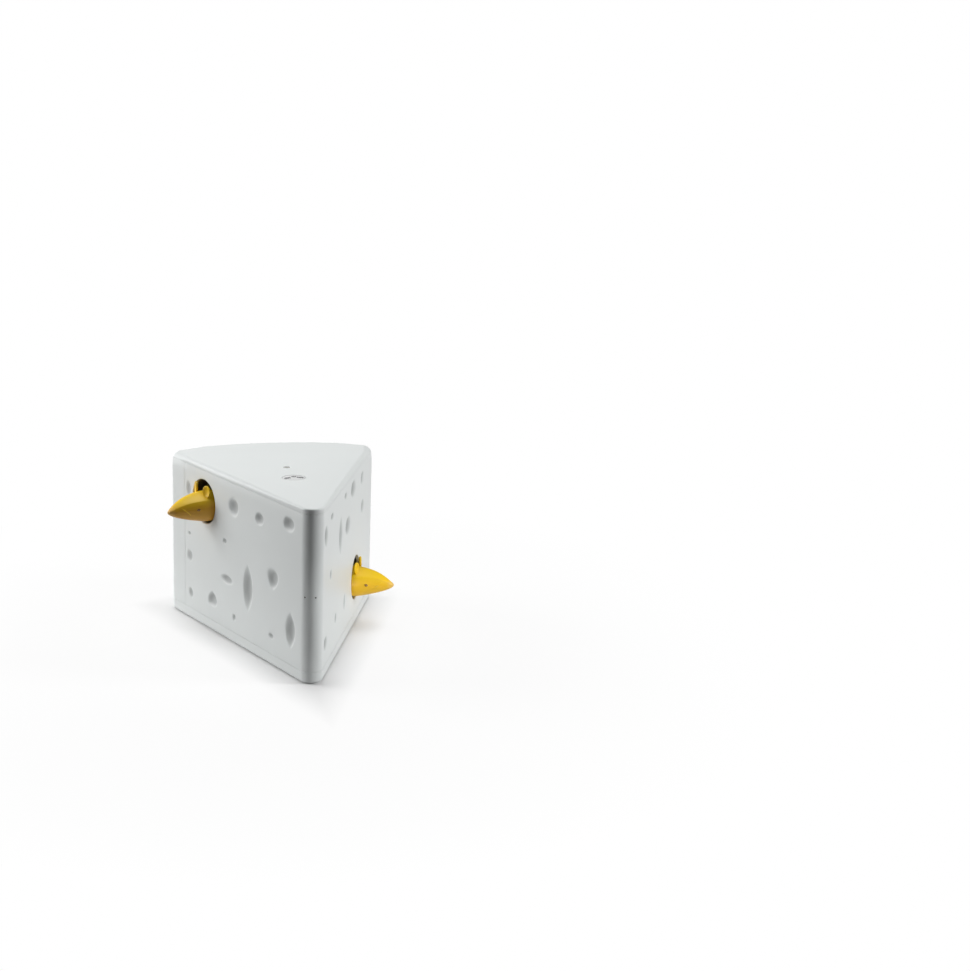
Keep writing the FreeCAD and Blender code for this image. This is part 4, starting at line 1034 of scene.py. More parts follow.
def grow(name, kind, item, **values):
    """Run one of the trees on an item and name the plain result."""
    if kind not in TREES:
        TREES[kind] = {"stamp": stamp_tree, "coil": coil_tree, "pipe": pipe_tree}[kind]()
    TREES[kind].grown(item, **values)
    item.name = item.data.name = name
    return item


def screw_head(name, sunk):
    """A head of radius 1 and height 1 with a cross recess: domed above the level z = 0, or flat at
    that level and coned below it."""
    quarter = [Vector((0.58, -0.13)), Vector((0.58, 0.13)), Vector((0.13, 0.13))]
    cross = [Matrix.Rotation(math.pi / 2 * i, 2) @ p for i in range(4) for p in quarter]
    radii = (1, 0.97, 0.9, 0.78, 0.65)
    points = cross + [p * radius for radius in radii for p in circle(40)]

    def level(place):
        return 0 if sunk else 0.3 + 0.7 * math.sqrt(1 - 0.84 * min(1, place.length) ** 2)

    verts, faces = triangles(points, loop_edges(0, 12) + loop_edges(12, 40),
                             lambda place: not inside(place, cross))
    verts = [Vector((v.x, v.y, level(v))) for v in verts]
    start = len(verts)
    verts += [Vector((p.x, p.y, level(p))) for p in cross]
    verts += [Vector((p.x * 0.8, p.y * 0.8, level(p) - 0.6)) for p in cross]
    faces += band_faces(start, 12) + [tuple(range(start + 12, start + 24))]
    start = len(verts)
    foot, narrow = (-1, 0.54) if sunk else (0, 1)
    verts += [Vector((p.x, p.y, level(p))) for p in circle(40)]
    verts += [Vector((p.x * narrow, p.y * narrow, foot)) for p in circle(40)]
    faces += band_faces(start, 40) + [tuple(range(start + 40, start + 80))]
    mesh = new_mesh(name, verts, faces, 1e-4, True)
    smooth(mesh, 30)
    return linked(name, mesh)


def screw_shank(name):
    """A threaded stem of radius 1 and length 1 that hangs down from the level z = 0."""
    turns = 9
    profile = [(0, 0), (0.86, 0)]
    for i in range(turns):
        profile += [(0.82, -(i + 0.25) * 0.94 / turns), (1.0, -(i + 0.6) * 0.94 / turns),
                    (0.82, -(i + 0.95) * 0.94 / turns)]
    profile += [(0.6, -0.97), (0, -1)]
    return turned(name, profile, 16)


def discarded(*items):
    for item in items:
        bpy.data.objects.remove(item)


# The housing

# Rounding of the mice's holes and the ground round them that has points of its own, how deep a
# scoop gets before the wall's inner skin follows it and how softly it then does, and the rounding
# of the cover's holes
HOLE_EASE = 0.8 * MM
HOLE_CLEAR = 2.2 * MM
SCOOP_SPARE = 1 * MM
SCOOP_BLEND = 0.5 * MM
COVER_HOLE_EASE = 0.5 * MM


def spread(low, high, radius, between):
    """Values from low to high: those between, and closer ones where both ends are rounded."""
    steps = (0, radius * 0.2, radius * 0.55, radius)
    return thinned([low + d for d in steps] + [high - d for d in steps] + between, 0.02 * MM)


def wall_skin(name, start, end, low, high, scoops=(), holes=()):
    """A stretch of the upright wall, with soft scoops, round holes and eased edges; behind a deep
    scoop the inner skin gives way, so that the wall stays whole."""
    level, upright_edge = sizes().seam_ease, sizes().upright_ease
    rows = spread(low, high, level, [low + (high - low) * i / 18 for i in range(1, 18)])
    columns = spread(start, end, upright_edge, OUTLINE.stations(start, end))
    points, edges = [], []
    add_holes(points, edges, holes, 112, (0, 0.15, 0.45, 0.8, 1.6))
    for scoop in scoops:
        points += scoop.ring_points()
    points += [p for p in (Vector((c, r)) for c in columns for r in rows)
               if clear_of(p, holes, HOLE_CLEAR)
               and all(scoop.share(p) > SCOOP_CLEAR for scoop in scoops)]
    flat, faces = triangles(points, edges, lambda place: clear_of(place, holes))
    outer, inner, hollow = [], [], []
    for place in flat:
        near = [scoop for scoop in scoops if scoop.share(place) < SCOOP_NEAR]
        dip = sum(scoop.fall(place) for scoop in near)
        fall = dip + max(eased(place.x - start, upright_edge), eased(end - place.x, upright_edge),
                         eased(place.y - low, level), eased(high - place.y, level))
        fall += sum(eased((place - at).length - radius, HOLE_EASE) for at, radius in holes)
        spare = dip - SCOOP_SPARE
        behind = sizes().wall + (spare + math.sqrt(spare ** 2 + SCOOP_BLEND ** 2)) / 2
        # How deep in a hollow each point lies, which the shell's finish reads for its painted shade
        # and its duller skin
        hollow.append(max((scoop.fall(place) / scoop.depth for scoop in near), default=0))
        point, normal = OUTLINE.at(place.x)
        corner = corner_fall(place.x, place.y)[0]
        for skin, depth in ((outer, fall + corner), (inner, behind + corner)):
            skin.append(Vector((point.x - normal.x * depth, point.y - normal.y * depth, place.y)))
    item = linked(name, walled(name, outer, inner, faces, hollow))
    smooth(item.data)
    return item


def walled(name, outer, inner, faces, hollow):
    """A closed wall from two skins with the same faces, joined along their open edges."""
    count = len(outer)
    sides = {edge for face in faces for edge in zip(face, face[1:] + face[:1])}
    rim = [(b, a, a + count, b + count) for a, b in sides if (b, a) not in sides]
    back = [tuple(i + count for i in reversed(face)) for face in faces]
    return new_mesh(name, outer + inner, [tuple(face) for face in faces] + back + sorted(rim),
                    hollow=hollow * 2)


def cover_loop(share, height, ease):
    """The cover's closed outline at a share of its rounded edge, 0 at the band and 1 on top; the
    rounding is small at the nose and large at the back corners."""
    found = []
    nose = (NOSE_START + NOSE_END) / 2
    for walked in OUTLINE.stations(0, OUTLINE.length())[:-1]:
        point, normal = OUTLINE.at(walked)
        away = min(abs(walked - nose) / NOSE_BLEND, 1)
        small = sizes().nose_round + (sizes().cover_round - sizes().nose_round) * away
        angle = math.pi / 2 * share
        inset = ease + small * (1 - math.cos(angle))
        level = min(height, TOTAL_HEIGHT - small * (1 - math.sin(angle)))
        corner, weight = corner_fall(walked, level)
        inset += max(0, corner - inset * weight)
        found.append(Vector((point.x - normal.x * inset, point.y - normal.y * inset, level)))
    return found


def cover_skin(name, holes):
    """The top: a rounded band and a level face with eased holes."""
    low, ease = COVER_SEAM + sizes().seam_gap / 2, sizes().seam_ease
    profile = [(0, low, ease), (0, low + ease * 0.1, ease * 0.45),
               (0, low + ease * 0.45, ease * 0.1), (0, low + ease, 0)]
    profile += [(i / 10, TOTAL_HEIGHT, 0) for i in range(11)]
    verts = [point for row in profile for point in cover_loop(*row)]
    count = len(verts) // len(profile)
    faces = [face for row in range(len(profile) - 1) for face in band_faces(row * count, count)]
    edge = [Vector(v[:2]) for v in verts[-count:]]
    points, edges = list(edge), loop_edges(0, count)
    add_holes(points, edges, holes, 72, (0, 0.1, 0.3, 0.5, 1.2))
    flat, tops = triangles(points, edges,
                           lambda place: inside(place, edge) and clear_of(place, holes))
    offset = len(verts)
    for v in flat:
        fall = sum(eased((v - at).length - radius, COVER_HOLE_EASE) for at, radius in holes)
        verts.append(Vector((v.x, v.y, TOTAL_HEIGHT - fall)))
    faces += [tuple(i + offset for i in face) for face in tops]
    item = linked(name, new_mesh(name, verts, faces, 0.002 * MM))
    modified(item, "SOLIDIFY", thickness=sizes().wall, offset=-1, use_even_offset=True)
    smooth(item.data)
    return item


# Screws, feet, cells and contacts

# Heads, bodies and nubs by radius and height
LARGE_HEAD, SMALL_HEAD = (2.8 * MM, 1.8 * MM), (2.2 * MM, 1.5 * MM)
SUNK_HEAD = (2.8 * MM, 1.3 * MM)
LARGE_STEM, SMALL_STEM = 1.5 * MM, 1.05 * MM
TAIL_SCREW_AT = (-29 * MM, 0, 2 * MM)
TAIL_SCREW_LENGTH = 10 * MM
CELL_TIP, CELL_BODY = (2.7 * MM, 1.2 * MM), (7.25 * MM, 48.3 * MM)
TIP_NUB, SPRING_NUB = (2.7 * MM, 3.55 * MM), (1.4 * MM, 0.5 * MM)
PLATE = (5.9 * MM, 0.4 * MM)
PLATE_AWAY = 3.6 * MM
COIL = {"turns": 5.0, "foot_radius": 3.4 * MM, "tip_radius": 1.6 * MM, "length": 2.8 * MM,
        "wire": 0.4 * MM}


def stamped(name, places, top, stem, top_size, stem_size, finish, spin=0.0):
    """Copies of two shapes on one axis at each place; the shapes' sizes are (radius, length)."""
    item = placed_points(name, places)
    return grow(name, "stamp", item, top_shape=top, stem_shape=stem, top_width=top_size[0],
                top_height=top_size[1], stem_width=stem_size[0], stem_length=stem_size[1],
                spin=spin, seed=len(places), finish=material(finish))


def screw_set(name, node, way, head, stem_radius, shapes, wide=None):
    """Screws where a CAD node has them, head down or up; wide picks them by their head's radius."""
    places, length = [], 0
    for low, high in solids_of(node):
        if wide is None or abs((high.x - low.x) / 2 - wide) < 0.1 * MM:
            seat = low.z + head[1] if way < 0 else high.z - head[1]
            length = high.z - low.z - head[1]
            places.append((Vector(((low.x + high.x) / 2, (low.y + high.y) / 2, seat)),
                           Vector((0, 0, way))))
    return stamped(name, places, shapes[0], shapes[1], head, (stem_radius, length), "screw_steel",
                   2 * math.pi)


def squared_ring(count, power):
    """A unit square with rounded corners, as a ring of points."""
    found = []
    for p in circle(count):
        size = (abs(p.x) ** power + abs(p.y) ** power) ** (1 / power)
        found.append(p / size)
    return found


def cell_body(name):
    """A battery without its tip, hanging from the level z = 0, that knows how far along and
    round it each corner is."""
    profile = [(0, 0), (0.5, 0), (0.86, -0.001), (0.93, -0.003), (0.985, -0.009), (1, -0.017),
               (1, -0.05), (1, -0.5), (1, -0.984), (0.985, -0.992), (0.93, -0.998), (0.86, -0.996),
               (0.7, -0.996), (0.66, -1), (0, -1)]
    mesh = lathe(name, profile, circle(48))
    for label, value in (("along", lambda v: 1 + v.z),
                         ("around", lambda v: abs(math.atan2(v.y, v.x)) / math.pi)):
        layer = mesh.attributes.new(label, "FLOAT", "POINT")
        for spot, vertex in zip(layer.data, mesh.vertices):
            spot.value = value(vertex.co)
    return linked(name, mesh)


# The mice

# Stations along a mouse, in millimetres from the face of its hole: how far out, half width, top
# and bottom of the body
MOUSE_SHAPE = [
    (-26, 11.5, 5.5, -12.2), (-24.5, 13.2, 7, -13.4), (-18, 16, 8.8, -14),
    (-10.5, 17.4, 9.7, -14.2), (-6, 17.8, 10, -17), (0, 18, 10.2, -17.6),
    (5, 17, 9.9, -16.9), (12, 14.2, 8.6, -15.4), (20, 10.9, 6.4, -13.4),
    (27, 7.3, 2.6, -11.3), (32, 4.3, -1.2, -9.2), (34.6, 2.3, -3.3, -7.6),
    (35.6, 1.2, -4.3, -6.5),
]
# How far out and how high the middle of the tail end and the tip are, in millimetres
MOUSE_TAIL = (-26, -3.5)
MOUSE_TIP = (36.0, -5.4)
MOUSE_COUNT = 48
# Ears: how far out, to the side and up, and how far they turn; eyes and creases: out and up
EAR_AT = (2.0, 9.4, 11.4)
EAR_TURN = math.radians(18)
EYE_AT = (12.5, -2.8)
CREASE = [(19, -7.2), (20.6, -5.6), (22.4, -4), (24, -2.5), (25.6, -1.2)]
CREASE_RADIUS = 0.36 * MM


def hole_at(side, reach, height):
    """The middle of a mouse's hole, in the row frame."""
    return Vector((side * reach * SIN, reach * COS, height)) + SHIFT


def hole_frame(side, reach, height):
    """A matrix to the row frame from a hole's own axes: out of the face, along it and up."""
    turn = Matrix(((side * COS, SIN, 0), (-SIN, side * COS, 0), (0, 0, 1)))
    return Matrix.Translation(hole_at(side, reach, height)) @ turn.to_4x4()


def mouse_section(out, count):
    """The body's cross-section at a distance out of the face: a soft ridge on each shoulder."""
    for near, far in zip(MOUSE_SHAPE, MOUSE_SHAPE[1:]):
        if out <= far[0]:
            break
    t = min(max((out - near[0]) / (far[0] - near[0]), 0), 1)
    wide, top, low = (a + (b - a) * t for a, b in zip(near[1:], far[1:]))
    found = []
    for i in range(count):
        across, up = section_point(4 * i / count)
        found.append(Vector((out, wide * across, (top + low) / 2 + (top - low) / 2 * up)))
    return found


def section_point(turn):
    """A point of the unit section, by quarter turns from one side over the top: two planes that
    meet in a ridge on each shoulder, and a soft round below."""
    if turn >= 2:
        c, d = math.cos(turn * math.pi / 2), math.sin(turn * math.pi / 2)
        return math.copysign(abs(c) ** 0.92, c), math.copysign(abs(d) ** 0.92, d)
    way, turn = (1, turn) if turn <= 1 else (-1, 2 - turn)
    side, ridge, top = Vector((1, 0)), Vector((0.8, 0.62)), Vector((0, 1))
    if turn < 0.5:
        start, end, share, swell = side, ridge, turn * 2, Vector((0.03, 0.01))
    else:
        start, end, share, swell = ridge, top, turn * 2 - 1, Vector((0.02, 0.05))
    point = start.lerp(end, share) + swell * 4 * share * (1 - share)
    return way * point.x, point.y


def mouse_skin(name, place):
    """The mouse's body with a pointed nose and a crisp ridge along each shoulder."""
    count = MOUSE_COUNT
    rings = [mouse_section(row[0], count) for row in MOUSE_SHAPE]
    verts = [point for ring in rings for point in ring]
    faces = [face for row in range(len(rings) - 1) for face in band_faces(row * count, count)]
    last, tail = len(verts) - count, len(verts)
    verts += [Vector((out, 0, up)) for out, up in (MOUSE_TAIL, MOUSE_TIP)]
    for i in range(count):
        j = (i + 1) % count
        faces += [(tail, j, i), (last + i, last + j, tail + 1)]
    mesh = new_mesh(name, verts, faces, 1e-4, True)
    work = opened(mesh)
    sharp = work.edges.layers.float.new("crease_edge")
    for edge in work.edges:
        a, b = (v.co for v in edge.verts)
        if a.x != b.x and min(a.x, b.x) > -10 and on_ridge(a) and on_ridge(b):
            edge[sharp] = 1.0
    item = linked(name, closed(work, mesh))
    modified(item, "SUBSURF", levels=2, render_levels=2)
    item.data.transform(place @ Matrix.Scale(MM, 4))
    smooth(item.data, 40)
    return item


def on_ridge(corner):
    """Whether a corner of the body lies on one of its shoulder ridges."""
    ring = mouse_section(corner.x, MOUSE_COUNT)
    return min((ring[MOUSE_COUNT * i // 8] - corner).length for i in (1, 3)) < 1e-3


def skin_spot(side, out, height):
    """The point on a mouse's cheek at a distance out and a height, and its outward direction."""
    def nearest(out, height):
        return min((v for v in mouse_section(out, 720) if v.y * side > 0),
                   key=lambda v: abs(v.z - height))
    spot = nearest(out, height)
    across = (nearest(out + 0.5, height) - spot).cross(nearest(out, height + 0.5) - spot)
    return spot, (across if across.y * side > 0 else -across).normalized()


def cupped_ear(name, side, place):
    """A tall round ear with a dished front and a rolled rim."""
    profile = [(0, 0.35), (1.6, 0.4), (3.0, 0.7), (3.9, 1.1), (4.4, 1.25), (4.85, 1.05),
               (5.0, 0.4), (4.8, -0.3), (4.2, -0.8), (2.6, -1.1), (0, -1.2)]
    mesh = lathe(name, profile, [Vector((p.x * 1.1, p.y * 0.85)) for p in circle(48)])
    out, spread, lift = EAR_AT
    mesh.transform(place @ Matrix.Scale(MM, 4) @ Matrix.Translation((out, side * spread, lift))
                   @ Matrix.Rotation(side * EAR_TURN, 4, "Z")
                   @ Matrix.Rotation(math.radians(90), 4, "Y"))
    return linked(name, mesh)


def eye_bead(name, side, place):
    """A small almond-shaped eye set into a cheek."""
    profile = [(0, -0.8), (1.1, -0.8), (1.2, -0.1), (1.1, 0.2), (0.85, 0.42), (0.45, 0.54),
               (0, 0.58)]
    mesh = lathe(name, profile, [Vector((p.x, p.y * (0.72 - 0.3 * abs(p.x)))) for p in circle(28)])
    spot, normal = skin_spot(side, *EYE_AT)
    ahead = (Vector((1, 0, -0.25)) - normal * normal.x).normalized()
    turn = Matrix((ahead, normal.cross(ahead), normal)).transposed().to_4x4()
    mesh.transform(place @ Matrix.Scale(MM, 4) @ Matrix.Translation(spot) @ turn
                   @ Matrix.Diagonal((1.5, 1.5, 1, 1)))
    return linked(name, mesh)


def cheek_crease(name, side, place):
    """The raised crease that runs up a cheek towards the nose, in a paler yellow that is a painted
    highlight along it.
    """
    mesh = bpy.data.meshes.new(name)
    mesh.from_pydata([place @ (skin_spot(side, *row)[0] * MM) for row in CREASE],
                     [(i, i + 1) for i in range(len(CREASE) - 1)], [])
    return grow(name, "pipe", linked(name, mesh), radius=CREASE_RADIUS,
                finish=material("crease_pale"))


# The button and the lamp window

# Radii and the gaps round them, how far the button's dome rises above the cover and its rim lies
# below it, its stem and flange, how high the printed marks lie on it, how much the letters are
# drawn out upwards, the power mark's line, and where the words go
BUTTON_RADIUS, BUTTON_GAP = 10 * MM, 0.25 * MM
BUTTON_RISE, BUTTON_DROP = 0.86 * MM, 0.3 * MM
STEM_RADIUS, FLANGE = 2.9 * MM, 1.6 * MM
FLANGE_LOW = TOTAL_HEIGHT - 4.3 * MM
LAMP_RADIUS, LAMP_GAP, LAMP_FLANGE = 3 * MM, 0.05 * MM, 1 * MM
MARK_LIFT = 0.03 * MM
LETTER_STRETCH = 1.5
SIGN_RADIUS, SIGN_HALF, SIGN_GAP = 1.55 * MM, 0.5 * MM, math.radians(38)
WORDS = (("ON", (-5.7 * MM, -2.5 * MM)), ("OFF", (5.3 * MM, -2.5 * MM)))


def dome_height(radius):
    """The button's top surface, by the distance from its middle."""
    tall = BUTTON_RISE + BUTTON_DROP
    ball = (BUTTON_RADIUS ** 2 + tall ** 2) / (2 * tall)
    return TOTAL_HEIGHT + BUTTON_RISE - (ball - math.sqrt(ball ** 2 - radius ** 2))


def printed_mark(name, verts, faces, centre):
    """A printed mark: thin, and laid on the button's dome."""
    mesh = new_mesh(name, [Vector((x + centre.x, y + centre.y,
                                   dome_height(math.hypot(x, y)) + MARK_LIFT)) for x, y in verts],
                    faces)
    item = modified(linked(name, mesh), "SOLIDIFY", thickness=sizes().ink, offset=-1)
    return dress(item, "button", "button_white", "sign_ink")


def power_sign(centre):
    """The usual power mark: a ring that is open at the top, and a bar in the gap."""
    half, count, rows = SIGN_HALF, 40, 5
    verts = []
    for i in range(count + 1):
        angle = math.pi / 2 + SIGN_GAP + (2 * math.pi - 2 * SIGN_GAP) * i / count
        verts += [(radius * math.cos(angle), radius * math.sin(angle))
                  for radius in (SIGN_RADIUS - half, SIGN_RADIUS + half)]
    for row in range(rows):
        lift = (0.2 + 0.6 * row) * MM
        verts += [(-half, lift), (half, lift)]
    faces = [tuple(2 * i + j for j in (0, 1, 3, 2)) for i in range(count + rows) if i != count]
    return printed_mark("power_sign", verts, faces, centre)


def word_sign(word, shift, centre):
    """A short word in tall narrow letters beside the power mark."""
    data = bpy.data.curves.new(word, "FONT")
    data.body = word
    data.size = sizes().word_height
    data.offset = sizes().word_weight
    data.align_x = "CENTER"
    data.align_y = "CENTER"
    data.resolution_u = 4
    text = linked(word, data)
    view = bpy.context.evaluated_depsgraph_get()
    work = opened(bpy.data.meshes.new_from_object(text.evaluated_get(view)))
    bmesh.ops.triangulate(work, faces=work.faces)
    verts = [(v.co.x + shift[0], v.co.y * LETTER_STRETCH + shift[1]) for v in work.verts]
    faces = [tuple(v.index for v in face.verts) for face in work.faces]
    work.free()
    bpy.data.objects.remove(text)
    return printed_mark("word_" + word.lower(), verts, faces, centre)


# Camera and stage

CAMERA_AT = (-224.214 * MM, -1334.385 * MM, 504.123 * MM)
CAMERA_YAW = math.radians(16.937)
CAMERA_PITCH = math.radians(14.860)
CAMERA_ROLL = math.radians(2.370)
CAMERA_LENS = 58.596
# Lamps: where they are, their width and their power, and the point that they all face
LAMPS_AIM = (0, 0, 0.07)
LAMPS = {
    "left_lamp": ((-0.93, 0.4, 0.46), 0.9, 9.2),
    "right_lamp": ((1.15, -0.42, 0.55), 0.4, 9.8),
    "top_lamp": ((0.0, 0.25, 1.4), 0.9, 9.2),
    "back_lamp": ((0.1, 1.5, 0.7), 0.9, 1.5),
}
# A narrow spot that skims along the right face and lights only the lower mouse: where it is and
# where it points, in the hole's own axes, its cone and its power. Then the world's light on the
# object, and the floor's profile.
MOUSE_SPOT = ((0.12, -0.7, 0.15), (0.016, 0, -0.004), math.radians(5.2), 10.0)
WORLD_LIGHT = 0.04
FLOOR = [(0, 0), (8, 0), (8, -0.01), (0, -0.01)]


def set_camera():
    data = bpy.data.cameras.new("photo_view")
    data.lens = CAMERA_LENS
    data.clip_end = 20
    item = linked("photo_view", data)
    item.location = CAMERA_AT
    forward = Vector((math.sin(CAMERA_YAW) * math.cos(CAMERA_PITCH),
                      math.cos(CAMERA_YAW) * math.cos(CAMERA_PITCH), -math.sin(CAMERA_PITCH)))
    right = Vector((math.cos(CAMERA_YAW), -math.sin(CAMERA_YAW), 0))
    up = right.cross(forward)
    rolled = right * math.cos(CAMERA_ROLL) + up * math.sin(CAMERA_ROLL)
    upright_axis = up * math.cos(CAMERA_ROLL) - right * math.sin(CAMERA_ROLL)
    item.rotation_euler = Matrix((rolled, upright_axis, -forward)).transposed().to_euler()
    bpy.context.scene.camera = item


def lamp(name, kind, power, at, target, **settings):
    """A lamp that points from one place to another."""
    data = bpy.data.lights.new(name, kind)
    data.energy = power
    for setting, value in settings.items():
        setattr(data, setting, value)
    item = linked(name, data)
    item.location = at
    item.rotation_euler = (Vector(target) - Vector(at)).to_track_quat("-Z", "Y").to_euler()
    return item


def set_lamps():
    """The soft lamps, and the small spot on the lower mouse."""
    for name, (at, width, power) in LAMPS.items():
        lamp(name, "AREA", power, at, LAMPS_AIM, shape="DISK", size=width)
    at, target, cone, power = MOUSE_SPOT
    here = hole_frame(*MOUSE_SIDES["lower"])
    item = lamp("mouse_spot", "SPOT", power, here @ Vector(at), here @ Vector(target),
                spot_size=cone, spot_blend=0.5, shadow_soft_size=0.04)
    item.visible_camera = False


def studio_paper(name):
    """White paper: it takes the object's shadow nearby and is plain white beyond."""
    finish = Finish(name)
    x, y = finish.axes(finish.coords())[:2]
    distance = (x * x + y * y) ** 0.5
    near = 1.0 - distance.step(0.14, 0.24)
    path = finish.node("ShaderNodeLightPath")
    seen = finish.out(path, "Is Camera Ray").most(finish.out(path, "Is Glossy Ray"))
    shade = finish.mix(near, (0.1, 0.1, 0.1, 1), (0.7, 0.7, 0.7, 1))
    shade = finish.mix(seen, shade, (0.93, 0.93, 0.93, 1))
    paper = finish.node("ShaderNodeBsdfDiffuse", Color=shade)
    white = finish.node("ShaderNodeEmission", Color=(1, 1, 1, 1), Strength=1.0)
    x, y = x - SHIFT.x, y - SHIFT.y
    beside = (x * -COS + y * -SIN).most(x * COS + y * -SIN)
    behind = (x * x + y * y) ** 0.5 - WEDGE_RADIUS
    share = beside.most(behind).step(0.0, 0.03) * 0.85 + distance.step(0.2, 0.45) * 0.15
    blend = finish.node("ShaderNodeMixShader", _0=seen * share, _1=finish.out(paper),
                        _2=finish.out(white))
    finish.tree.links.new(blend.outputs[0], finish.output.inputs["Surface"])
    return finish.material


def set_world():
    """Plain white to the camera, and a faint even light on the object."""
    world = bpy.data.worlds.new("studio")
    world.use_nodes = True
    bpy.context.scene.world = world
    world.node_tree.nodes.clear()
    tree = Builder(world.node_tree)
    seen = tree.out(tree.node("ShaderNodeLightPath"), "Is Camera Ray")
    shade = tree.node("ShaderNodeBackground", Color=(1, 1, 1, 1),
                      Strength=seen * (1.0 - WORLD_LIGHT) + WORLD_LIGHT)
    tree.node("ShaderNodeOutputWorld", Surface=tree.out(shade))


# The tools and their panel

class CATTOY_OT_walls(bpy.types.Operator):
    """Build the front and rear walls with their hollows and the mice's holes"""
    bl_idname = "cattoy.walls"
    bl_label = "Walls"

    def execute(self, context):
        half = sizes().seam_gap / 2
        low, high = BASE_SEAM - SEAM_GAP / 2 + 2 * half, COVER_SEAM - half
        scoops = [cheese_scoop(side, row) for side, rows in ((-1, LEFT_SCOOPS), (1, RIGHT_SCOOPS))
                  for row in rows] + [nose_pin(turn) for turn in NOSE_PINS]
        holes = [(Vector((walk_of(side, reach), height)), MOUSE_HOLE / 2)
                 for side, reach, height in MOUSE_SIDES.values()]
        front = wall_skin("front_wall", half, OUTLINE.front - half, low, high, scoops, holes)
        dress(front, "housing", "shell_white", nodes=["front_shell"])
        rear = wall_skin("rear_wall", OUTLINE.front + half, OUTLINE.length() - half, low, high)
        dress(rear, "housing", "shell_white", nodes=["rear_shell"])
        pin = turned("pin_shape", [(0, 0), (1, 0), (1, 0.8), (0.85, 1), (0, 1)], 20)
        places = []
        radius, depth = PIN_PLUG
        for turn in NOSE_PINS:
            point, normal = OUTLINE.at(nose_pin(turn).at.x)
            places.append((Vector((point.x, point.y, PIN_HEIGHT)) - normal * depth, normal))
        item = stamped("nose_pins", places, pin, pin, (radius, 0.9 * MM), (radius, 0.1 * MM),
                       "black_plastic")
        dress(item, "housing", "black_plastic")
        discarded(pin)
        return {"FINISHED"}


class CATTOY_OT_cover(bpy.types.Operator):
    """Build the top cover with its openings for the button and the lamp"""
    bl_idname = "cattoy.cover"
    bl_label = "Cover"

    def execute(self, context):
        holes = [(Vector(middle("power_button")[:2]), BUTTON_RADIUS + BUTTON_GAP),
                 (Vector(middle("lamp_lens")[:2]), LAMP_RADIUS + LAMP_GAP)]
        dress(cover_skin("top_skin", holes), "housing", "shell_white", nodes=["top_cover"])
        return {"FINISHED"}


class CATTOY_OT_base(bpy.types.Operator):
    """Build the base tray, the battery door and the rubber feet"""
    bl_idname = "cattoy.base"
    bl_label = "Base"

    def execute(self, context):
        dress(merged_copy("base_tray", "base_skin"), "housing", "shell_white",
              nodes=["base_tray"])
        dress(merged_copy("battery_door", "door_skin", sizes().door_ease), "door", "shell_white",
              nodes=["battery_door"])
        pad = turned("pad_shape", [
            (0, 0), (1, 0), (1, 0.7), (0.97, 0.92), (0.9, 1), (0.78, 1), (0.74, 0.82),
            (0.66, 0.82), (0.62, 1), (0.4, 1), (0.36, 0.82), (0.28, 0.82), (0.24, 1), (0, 1)], 64)
        plug = turned("plug_shape", [(0, 0), (1, 0), (1, -1), (0, -1)], 64)
        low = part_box("base_tray")[0].z
        boxes = solids_of("rubber_feet")
        places = [(Vector((*((a + b) / 2)[:2], low)), DOWN) for a, b in boxes]
        wide = (boxes[0][1].x - boxes[0][0].x) / 2
        feet = stamped("feet", places, pad, plug, (wide, low), (0.98 * wide, 0.9 * MM),
                       "rubber_black")
        dress(feet, "housing", "rubber_black", nodes=["rubber_feet"])
        discarded(pad, plug)
        return {"FINISHED"}


class CATTOY_OT_screws(bpy.types.Operator):
    """Put real screw heads and threads where the frame has screws"""
    bl_idname = "cattoy.screws"
    bl_label = "Screws"

    def execute(self, context):
        pan, flat, shank = (screw_head("pan_shape", False), screw_head("flat_shape", True),
                            screw_shank("shank_shape"))
        large, small = (LARGE_HEAD, LARGE_STEM), (SMALL_HEAD, SMALL_STEM)
        sets = [("housing_screws", -1, large, None), ("tower_screws", -1, large, None),
                ("board_screws", -1, small, None)]
        for way in MOUSE_SIDES:
            sets += [(way + "_drive_screws", 1, size, size[0][0]) for size in (large, small)]
        for node, direction, (head, stem), wide in sets:
            name = node.replace("screws", "small_screw_set" if wide == SMALL_HEAD[0]
                                else "screw_set")
            item = screw_set(name, node, direction, head, stem, (pan, shank), wide)
            dress(item, "housing", "screw_steel", nodes=[node])
        low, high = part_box("door_screw")
        spot = Vector((*middle("door_screw")[:2], low.z))
        item = stamped("door_fastener", [(spot, DOWN)], flat, shank, SUNK_HEAD,
                       (LARGE_STEM, high.z - low.z), "screw_steel", 2)
        dress(item, "door", "screw_steel", nodes=["door_screw"])
        for way, place in MOUSE_SIDES.items():
            here = hole_frame(*place)
            out = here.to_3x3() @ Vector((1, 0, 0))
            item = stamped(way + "_tail_screw", [(here @ Vector(TAIL_SCREW_AT), -out)], pan, shank,
                           LARGE_HEAD, (LARGE_STEM, TAIL_SCREW_LENGTH), "screw_steel", 2)
            dress(item, way + "_mouse_body", "screw_steel", nodes=[way + "_mouse_screw"])
        discarded(pan, flat, shank)
        return {"FINISHED"}


